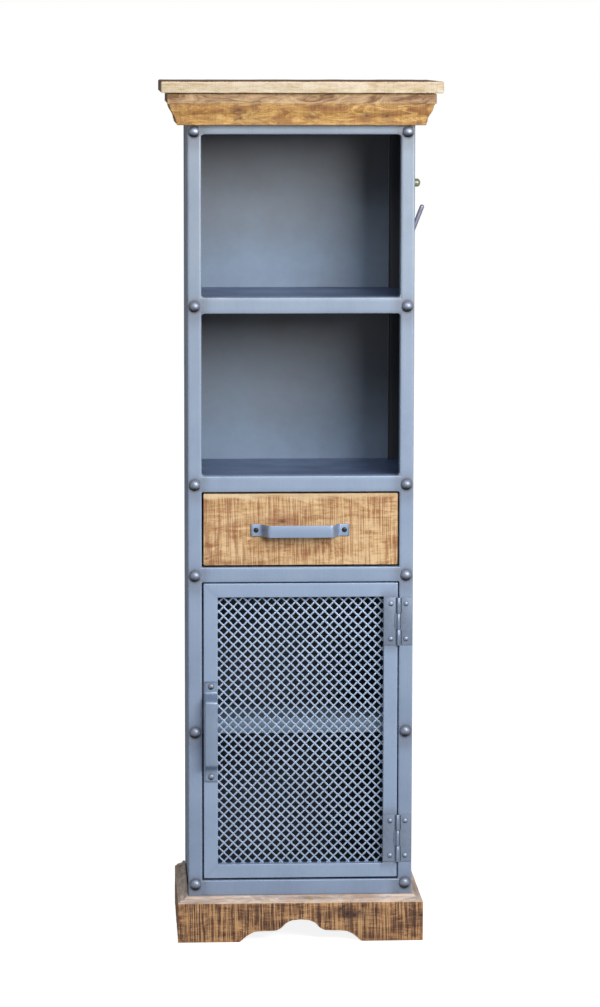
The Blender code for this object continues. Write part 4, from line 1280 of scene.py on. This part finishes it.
class CABINET_OT_handles(bpy.types.Operator):
    """Bent strap handles, screwed to the drawer and riveted to the door"""

    bl_idname = "cabinet.handles"
    bl_label = "Handles"

    def execute(self, context):
        look = context.scene.cabinet_steel
        seat = FRONT - CLEAR - STRAP_SHEET
        for body, turn, along, across in (("drawer", LIE_ACROSS, 0, 2), ("door", STAND_UP, 2, 0)):
            node = f"{body}_handle"
            tones = (scaled(look.door_pale, HANDLE_LIGHT_SHARE[body]), scaled(look.door_dark, HANDLE_LIGHT_SHARE[body]))
            finish = {"bump": 0.0001, "edge": 1.0, "heat_and_shade_tone": HANDLE_SHADE}
            material = steel(f"{body}_handle_steel", *tones, 0.36, 0.35, **finish)
            spread = high(node) - low(node)
            centre = (middle(node)[0], FRONT - CLEAR, middle(node)[2])
            part = moved(handle_strap(spread[along], spread[across] - 0.0001), turn, centre)
            piece(f"strap_{node}", part, material, body, "handle_steel", (node,))
        screw = plain("fixing_steel", (0.045, 0.045, 0.052), 0.42, 0.7)
        for side in ("left", "right"):
            node = f"drawer_handle_screw_{side}"
            x, _, z = middle(node)
            part = moved(head_of(0.0048, 0.0018, 0.0015, 20), OUT_FRONT, (x, seat, z))
            piece(f"screw_{side}", part, screw, "drawer", "fixing_steel", (node,))
        for end in ("top", "bottom"):
            node = f"door_handle_rivet_{end}"
            x, _, z = middle(node)
            part = head_of(DOOR_RIVET_RADIUS, 0.0033, 0.0015, 24, 0.02, 71)
            # Painted shade on the head's rim and lower half.
            part = shaded(moved(part, OUT_FRONT, (x, seat, z)), z, DOOR_RIVET_RADIUS, seat, 0.0012)
            piece(f"head_{node}", part, rivet_steel(), "door", "rivet_steel", (node,), sharp=70.0)
        return {"FINISHED"}


# ---- Door ---------------------------------------------------------------------------------------


DOOR_MEMBER = 0.026  # width of the frame's face, all round
DOOR_SHEET = 0.0015
HINGE_GLOW = 0.045  # from a hinge's middle, up to where the door is fully tinted
HINGE_GLOW_SIDE = 0.150  # where the tinted side begins
MITRE_HEAT = 0.15


def door_opening():
    """Left, right, bottom and top of the hole in the door's frame."""
    corner, far = low("door_frame") + DOOR_MEMBER, high("door_frame") - DOOR_MEMBER
    return corner[0], far[0], corner[2], far[2]


class CABINET_OT_door(bpy.types.Operator):
    """Door frame: one pressed ring of sheet with its outer and inner edges turned back"""

    bl_idname = "cabinet.door"
    bl_label = "Door frame"

    def execute(self, context):
        look = context.scene.cabinet_steel
        corner, far = low("door_frame"), high("door_frame")
        depth = far[1] - corner[1]
        inner = DOOR_MEMBER - DOOR_SHEET
        section = [(0, depth), (0, 0), (DOOR_MEMBER, 0), (DOOR_MEMBER, depth), (inner, depth)]
        section += [(inner, DOOR_SHEET), (DOOR_SHEET, DOOR_SHEET), (DOOR_SHEET, depth)]
        outline = divided(softened(np.array(section), 0.0013, 5), 0.006)
        inset, back = outline[:, 0], outline[:, 1]
        left, right = corner[0] + inset, far[0] - inset
        bottom, top = corner[2] + inset, far[2] - inset
        turns = ((left, bottom), (right, bottom), (right, top), (left, top))
        sides = []
        for (x0, z0), (x1, z1) in zip(turns, turns[1:] + turns[:1]):
            count = math.ceil(max(np.abs(x1 - x0).max(), np.abs(z1 - z0).max()) / 0.006)
            t = np.linspace(0, 1, count, endpoint=False)[:, None]
            sides.append(grid(x0 + (x1 - x0) * t, corner[1] + back, z0 + (z1 - z0) * t))
        points = np.concatenate(sides)
        rounded = corner_value(outline) * (back < 0.003)
        hinges = np.array([middle(f"hinge_{which}_door_leaf")[2] for which in ("upper", "lower")])
        away = np.maximum(np.abs(points[..., 2:] - hinges).min(axis=-1) - HINGE_GLOW, 0)
        near_hinge = np.exp(-((away / 0.012) ** 2)) * (points[..., 0] > HINGE_GLOW_SIDE)
        from_edge = np.minimum(points - corner, far - points)
        mitre = np.exp(-(((from_edge[..., 0] - from_edge[..., 2]) / 0.005) ** 2)) * MITRE_HEAT
        heat = np.maximum(near_hinge * 0.5, mitre)
        part = surface(points, wrap_rows=True, wrap_columns=True, wear=rounded * 0.9, heat=heat)
        material = steel("door_steel", look.door_pale, look.door_dark, 0.4, 0.3)
        piece("steel_door_frame", part, material, "door", "door_steel", ("door_frame",))
        return {"FINISHED"}


def clipped_run(start, direction, box):
    """Where a line in the XZ plane enters and leaves a box of left, right, bottom and top."""
    spans = []
    for axis in (0, 1):
        spans.append(sorted((edge - start[axis]) / direction[axis] for edge in box[2 * axis : 2 * axis + 2]))
    return max(spans[0][0], spans[1][0]), min(spans[0][1], spans[1][1])


WIRE_ROUNDING = 0.36  # corner radius of a wire, as a share of its thickness
WIRE_SPREAD = 0.00018  # of the wires' places, at random
WIRE_WANDER = 0.00022  # of a wire to either side along its way
LEAST_WIRE = 0.003  # length; shorter ones in the corners are left out


def wires(lean, box, depth, crimp, seed):
    """Flattened wires leaning one way over a box: each is a rounded rectangle carried along a slanted
    line, and moved back by crimp * cos(2 pi s / pitch), where s is the way along it from the box's
    middle, so that every crossing is a whole number of pitches away."""
    look = bpy.context.scene.cabinet_mesh
    along = np.array([1, -lean]) / math.sqrt(2)
    across = np.array([lean, 1]) / math.sqrt(2)
    centre = np.array([(box[0] + box[1]) / 2, (box[2] + box[3]) / 2])
    reach = math.hypot(box[1] - box[0], box[3] - box[2]) / 2
    count = int(reach / look.pitch)
    ring = rounded_ring(look.width / 2, look.thickness / 2, look.thickness * WIRE_ROUNDING, 2)
    random = np.random.default_rng(seed)
    made = []
    for number in range(-count, count + 1):
        start = centre + across * (number * look.pitch + random.normal(0, WIRE_SPREAD))
        first, last = clipped_run(start, along, box)
        if last - first < LEAST_WIRE:
            continue
        s = np.linspace(first, last, max(3, math.ceil((last - first) / (look.pitch / 5))))
        wander = WIRE_WANDER * value_noise(np.column_stack([s, s * 0 + number, s * 0]), 0.03, seed + 1)
        wave = depth + crimp * np.cos(math.tau * s / look.pitch)
        line = start + along * s[:, None] + across * wander[:, None]
        xz = line[:, None, :] + across * ring[:, :1]
        points = grid(xz[..., 0], wave[:, None] + ring[:, 1], xz[..., 1])
        made.append(surface(points, wrap_columns=True, caps=True, wear=random.uniform(0, 0.35)))
    return gathered(made)


class CABINET_OT_mesh(bpy.types.Operator):
    """Woven wire behind the door's frame: crimped wires one way, straighter ones over them"""

    bl_idname = "cabinet.mesh"
    bl_label = "Wire mesh"

    def execute(self, context):
        look = context.scene.cabinet_mesh
        metal = context.scene.cabinet_steel
        left, right, bottom, top = door_opening()
        lap = 0.004
        box = (left - lap, right + lap, bottom - lap, top + lap)
        front_depth = low("mesh_panel")[1] + look.thickness / 2
        back_depth = front_depth + look.thickness - 1.2 * look.crimp
        material = steel("mesh_steel", metal.wire_colour, metal.wire_shade, 0.36, 0.45, 0.00008, 0.4)
        falling = wires(1, box, front_depth, -0.2 * look.crimp, 61)
        rising = wires(-1, box, back_depth, look.crimp, 67)
        piece("wires_falling", falling, material, "door", "mesh_steel", ("mesh_panel",), sharp=60.0)
        piece("wires_rising", rising, material, "door", "mesh_steel", sharp=60.0)
        return {"FINISHED"}


# ---- Hinges -------------------------------------------------------------------------------------

BARREL = 0.0035
LEAF_SHEET = 0.0018
PIN = 0.0018
LEAF_STARTS = {-1: 0.0019, 1: 0.0007}  # gap between the barrel and the door's leaf, and the post's
LEAF_RIVET = (0.0049, 0.0032)  # radius and rise
LEAF_RIVET_X = 0.0141
LEAF_RIVET_Z = 0.033
HINGE_SHADE = (0.110, 0.108, 0.128)


def knuckle(bottom, top, bore):
    """A hollow knuckle about Z with chamfered ends: a closed outline of radius and height turned."""
    chamfer = 0.0004
    outline = [(bore, bottom), (BARREL - chamfer, bottom), (BARREL, bottom + chamfer)]
    outline += [(BARREL, top - chamfer), (BARREL - chamfer, top), (bore, top)]
    return surface(revolved(np.array(outline), 28), wrap_rows=True, wrap_columns=True, wear=0.3)


def leaf_parts(side, length, height, spans):
    """A leaf's sheet, the tongues that join it to its knuckles, the knuckles and two rivet heads.
    Side is -1 towards the door and 1 towards the post; the pin is along Z through the origin."""
    front, back = BARREL - LEAF_SHEET, BARREL
    near = BARREL + LEAF_STARTS[side]
    corners = sorted((side * near, side * length))
    sheet = block((corners[0], front, -height / 2), (corners[1], back, height / 2), 0.0005)
    edge = np.minimum(length - np.abs(sheet["points"][:, 0]), height / 2 - np.abs(sheet["points"][:, 2]))
    # The 0.85 line round the sheet's edges is a painted shadow; the 0.50 elsewhere is a brown tint.
    sheet["values"]["heat"] = np.where(edge < 0.0003, 0.85, 0.50)
    parts = [sheet]
    for bottom, top in spans:
        ends = sorted((side * (PIN + 0.0012), side * (near + 0.002)))
        parts.append(block((ends[0], front, bottom), (ends[1], back - 0.00004, top), 0.0003))
        barrel = knuckle(bottom, top, PIN + CLEAR)
        # The barrel's two sides are darker: painted shade where its round turns from the light.
        barrel["values"]["heat"] = 0.3 + 0.5 * (np.abs(barrel["points"][:, 0]) > 0.6 * BARREL)
        parts.append(barrel)
    for level in (-LEAF_RIVET_Z, LEAF_RIVET_Z):
        head = head_of(*LEAF_RIVET, 0.0006, 22, 0.03, int(80 + level * 1000))
        head = moved(head, OUT_FRONT, (side * LEAF_RIVET_X, front + 0.0002, level))
        # Painted shade on the head's rim and lower half.
        parts.append(shaded(head, level, LEAF_RIVET[0], front, 0.0012))
    return gathered(parts)


class CABINET_OT_hinges(bpy.types.Operator):
    """Butt hinges, each a leaf on the door, a leaf on the post and a pin"""

    bl_idname = "cabinet.hinges"
    bl_label = "Hinges"

    def execute(self, context):
        look = context.scene.cabinet_steel
        finish = {"metallic": 0.4, "bump": 0.00014, "specks": 0.9, "heat_and_shade_tone": HINGE_SHADE}
        material = steel("hinge_steel", look.door_pale, look.dark, **finish)
        pin_steel = plain("hinge_pin_steel", (0.10, 0.11, 0.13), 0.4, 0.8)
        for which in ("upper", "lower"):
            door_leaf, post_leaf = f"hinge_{which}_door_leaf", f"hinge_{which}_post_leaf"
            axis = np.array([*middle(f"hinge_{which}_pin")[:2], middle(post_leaf)[2]])
            height = high(post_leaf)[2] - low(post_leaf)[2]
            third = height / 6
            outer = [(third + CLEAR, height / 2), (-height / 2, -third - CLEAR)]
            inner = [(-third + CLEAR, third - CLEAR)]
            leaves = (
                (door_leaf, "door", -1, axis[0] - low(door_leaf)[0], inner),
                (post_leaf, "cabinet", 1, high(post_leaf)[0] - axis[0], outer),
            )
            for leaf, body, side, length, spans in leaves:
                part = moved(leaf_parts(side, length, height, spans), shift=axis)
                piece(f"plate_{leaf}", part, material, body, "hinge_steel", (leaf,), 50.0)
            dress((f"hinge_{which}_pin",), pin_steel)
        return {"FINISHED"}


# ---- Hook ---------------------------------------------------------------------------------------

PLATE = 0.0030  # thickness of the hook's plate
ROD = 0.0042  # radius of the hook's rod
ROD_LEAN = math.radians(22)
ROD_LENGTH = 0.0700
ROD_TOP = 1.3645


class CABINET_OT_hook(bpy.types.Operator):
    """Hook on the right side: a plate, a rod bent up and outwards, and a peg over it"""

    bl_idname = "cabinet.hook"
    bl_label = "Hook"

    def execute(self, context):
        corner, far = low("side_hook"), high("side_hook")
        y = middle("side_hook")[1]
        plate_face = corner[0] + PLATE
        hook_tones = ((0.330, 0.325, 0.430), (0.150, 0.150, 0.205))
        material = steel("hook_steel", *hook_tones, 0.40, 0.45, 0.00012, 0.6)
        plate = block(corner, (plate_face, far[1], far[2]), 0.0007)
        plate["values"]["wear"] = np.full(len(plate["points"]), 0.4)
        tip = np.array([far[0] - ROD * 1.02, ROD_TOP])
        foot = tip - ROD_LENGTH * np.array([math.sin(ROD_LEAN), math.cos(ROD_LEAN)])
        path = way([foot - (0.0012, 0.0010), foot + (0.0040, 0.0075), tip], 0.006, 0.004)
        path[:, 0] = np.maximum(path[:, 0], corner[0] + ROD)
        bar = moved(rod(path, ROD, 18), shift=(0, y, 0))
        piece("hook_plate", gathered([plate, bar]), material, "cabinet", "handle_steel", ("side_hook",))
        peg_low, peg_high = low("side_hook_peg"), high("side_hook_peg")
        size = (peg_high[2] - peg_low[2]) / 2
        straight = peg_high[0] - plate_face - CLEAR - size * 0.8
        shank = [(0, -0.0010), (size * 0.5, -0.0010), (size * 0.92, 0)]
        shank += [(size, 0.0006), (size, straight * 0.5)]
        part = turned(np.concatenate([shank, dome(size, size * 0.8, 9) + (0, straight)]), 32, 0.01, 91)
        part = moved(part, OUT_RIGHT, (plate_face + CLEAR, y, middle("side_hook_peg")[2]))
        peg_tones = ((0.300, 0.310, 0.215), (0.150, 0.155, 0.105))
        peg = steel("peg_metal", *peg_tones, 0.40, 0.4, 0.0001, 0.5)
        piece("hook_peg", part, peg, "cabinet", "peg_metal", ("side_hook_peg",))
        return {"FINISHED"}


# ---- Stage --------------------------------------------------------------------------------------


FLOOR_HALF = 12.0
FLOOR_GAP = 0.0006  # between the floor and the cabinet's feet
CAMERA_PLACE = (-0.35847, FRONT - 6.83453, 1.67379)
CAMERA_TURNS = ((-0.0522, "Z"), (-0.1236, "X"), (-0.0015, "Y"))
CAMERA_LEVEL = (math.pi / 2, "X")  # turns a camera that looks down so that it looks along +Y


def area_light(name, place, target, size, power, colour):
    """A soft rectangular light that faces a target."""
    data = bpy.data.lights.new(name, "AREA")
    data.shape = "RECTANGLE"
    data.size, data.size_y = size
    data.energy = power
    data.color = colour
    light = bpy.data.objects.new(name, data)
    light.location = place
    light.rotation_euler = (Vector(target) - Vector(place)).to_track_quat("-Z", "Y").to_euler()
    bpy.context.scene.collection.objects.link(light)
    return light


class CABINET_OT_stage(bpy.types.Operator):
    """Pale floor, soft lights and the camera"""

    bl_idname = "cabinet.stage"
    bl_label = "Stage"

    def execute(self, context):
        look = context.scene.cabinet_stage
        steps = np.linspace(-FLOOR_HALF, FLOOR_HALF, look.rows + 1)
        points = grid(steps[:, None], steps, -FLOOR_GAP)
        thick = np.concatenate([points, points[::-1] - (0, 0, 0.01)])
        material, graph, shader = new_material("pale_floor")
        soft = graph.noise(graph.place(), 3.0, 2.0)
        graph.feed(shader.inputs["Base Color"], graph.mix(soft, (0.60, 0.60, 0.60), (0.64, 0.64, 0.64)))
        shader.inputs["Roughness"].default_value = 0.9
        seen = graph.node("ShaderNodeLightPath").outputs["Is Camera Ray"]
        graph.feed(shader.inputs["Emission Color"], graph.mix(seen, (0, 0, 0), (0.88, 0.88, 0.88)))
        shader.inputs["Emission Strength"].default_value = 1.0
        piece("floor", surface(thick, wrap_rows=True), material, None, None)

        world = bpy.data.worlds.new("Soft room")
        world.use_nodes = True
        context.scene.world = world
        graph = Graph(world.node_tree)
        room = world.node_tree.nodes["Background"]
        room.inputs["Color"].default_value = (1, 1, 1, 1)
        room.inputs["Strength"].default_value = look.sky
        seen = graph.node("ShaderNodeBackground", {"Color": (1, 1, 1, 1), "Strength": 1.0})
        direct = graph.node("ShaderNodeLightPath").outputs["Is Camera Ray"]
        both = graph.node("ShaderNodeMixShader", {0: direct, 1: room.outputs[0], 2: seen.outputs[0]})
        graph.feed(world.node_tree.nodes["World Output"].inputs["Surface"], both.outputs[0])

        warm, cool = (1.0, 0.985, 0.965), (0.97, 0.985, 1.0)
        key = area_light("key", (1.62, -3.15, 2.30), (0, 0, 1.45), (2.1, 1.5), look.key, warm)
        key.data.spread = math.radians(105)
        area_light("fill", (-0.35, -3.0, 3.2), (0, 0, 0.85), (1.6, 1.2), look.fill, cool)

        camera_data = bpy.data.cameras.new("camera")
        camera_data.lens = look.lens
        camera_data.sensor_width = 36.0
        camera = bpy.data.objects.new("camera", camera_data)
        context.scene.collection.objects.link(camera)
        camera.matrix_world = Matrix.Translation(CAMERA_PLACE)
        for angle, axis in (*CAMERA_TURNS, CAMERA_LEVEL):
            camera.matrix_world = camera.matrix_world @ Matrix.Rotation(angle, 4, axis)
        context.scene.camera = camera
        context.scene.view_settings.view_transform = "Standard"
        return {"FINISHED"}


# ---- Add-on -------------------------------------------------------------------------------------

OPERATORS = (
    CABINET_OT_stage,
    CABINET_OT_frame,
    CABINET_OT_welds,
    CABINET_OT_rivets,
    CABINET_OT_panels,
    CABINET_OT_top,
    CABINET_OT_crown,
    CABINET_OT_plinth,
    CABINET_OT_drawer,
    CABINET_OT_handles,
    CABINET_OT_door,
    CABINET_OT_mesh,
    CABINET_OT_hinges,
    CABINET_OT_hook,
)
SETTINGS = {
    "cabinet_steel": CabinetSteel,
    "cabinet_wood": CabinetWood,
    "cabinet_mesh": CabinetMesh,
    "cabinet_stage": CabinetStage,
}


class CABINET_PT_pieces(bpy.types.Panel):
    """Lists the cabinet's pieces and its settings"""

    bl_label = "Cabinet"
    bl_idname = "CABINET_PT_pieces"
    bl_space_type = "VIEW_3D"
    bl_region_type = "UI"
    bl_category = "Cabinet"

    def draw(self, context):
        layout = self.layout
        for operator in OPERATORS:
            layout.operator(operator.bl_idname)
        for name, settings in SETTINGS.items():
            box = layout.box()
            for setting in settings.__annotations__:
                box.prop(getattr(context.scene, name), setting)


def register():
    for name, settings in SETTINGS.items():
        bpy.utils.register_class(settings)
        setattr(bpy.types.Scene, name, PointerProperty(type=settings))
    for operator in OPERATORS:
        bpy.utils.register_class(operator)
    bpy.utils.register_class(CABINET_PT_pieces)


def unregister():
    bpy.utils.unregister_class(CABINET_PT_pieces)
    for operator in reversed(OPERATORS):
        bpy.utils.unregister_class(operator)
    for name, settings in SETTINGS.items():
        delattr(bpy.types.Scene, name)
        bpy.utils.unregister_class(settings)


def main():
    register()
    for operator in OPERATORS:
        step = getattr(bpy.ops.cabinet, operator.bl_idname.split(".")[1])
        step()


if __name__ == "__main__":
    main()
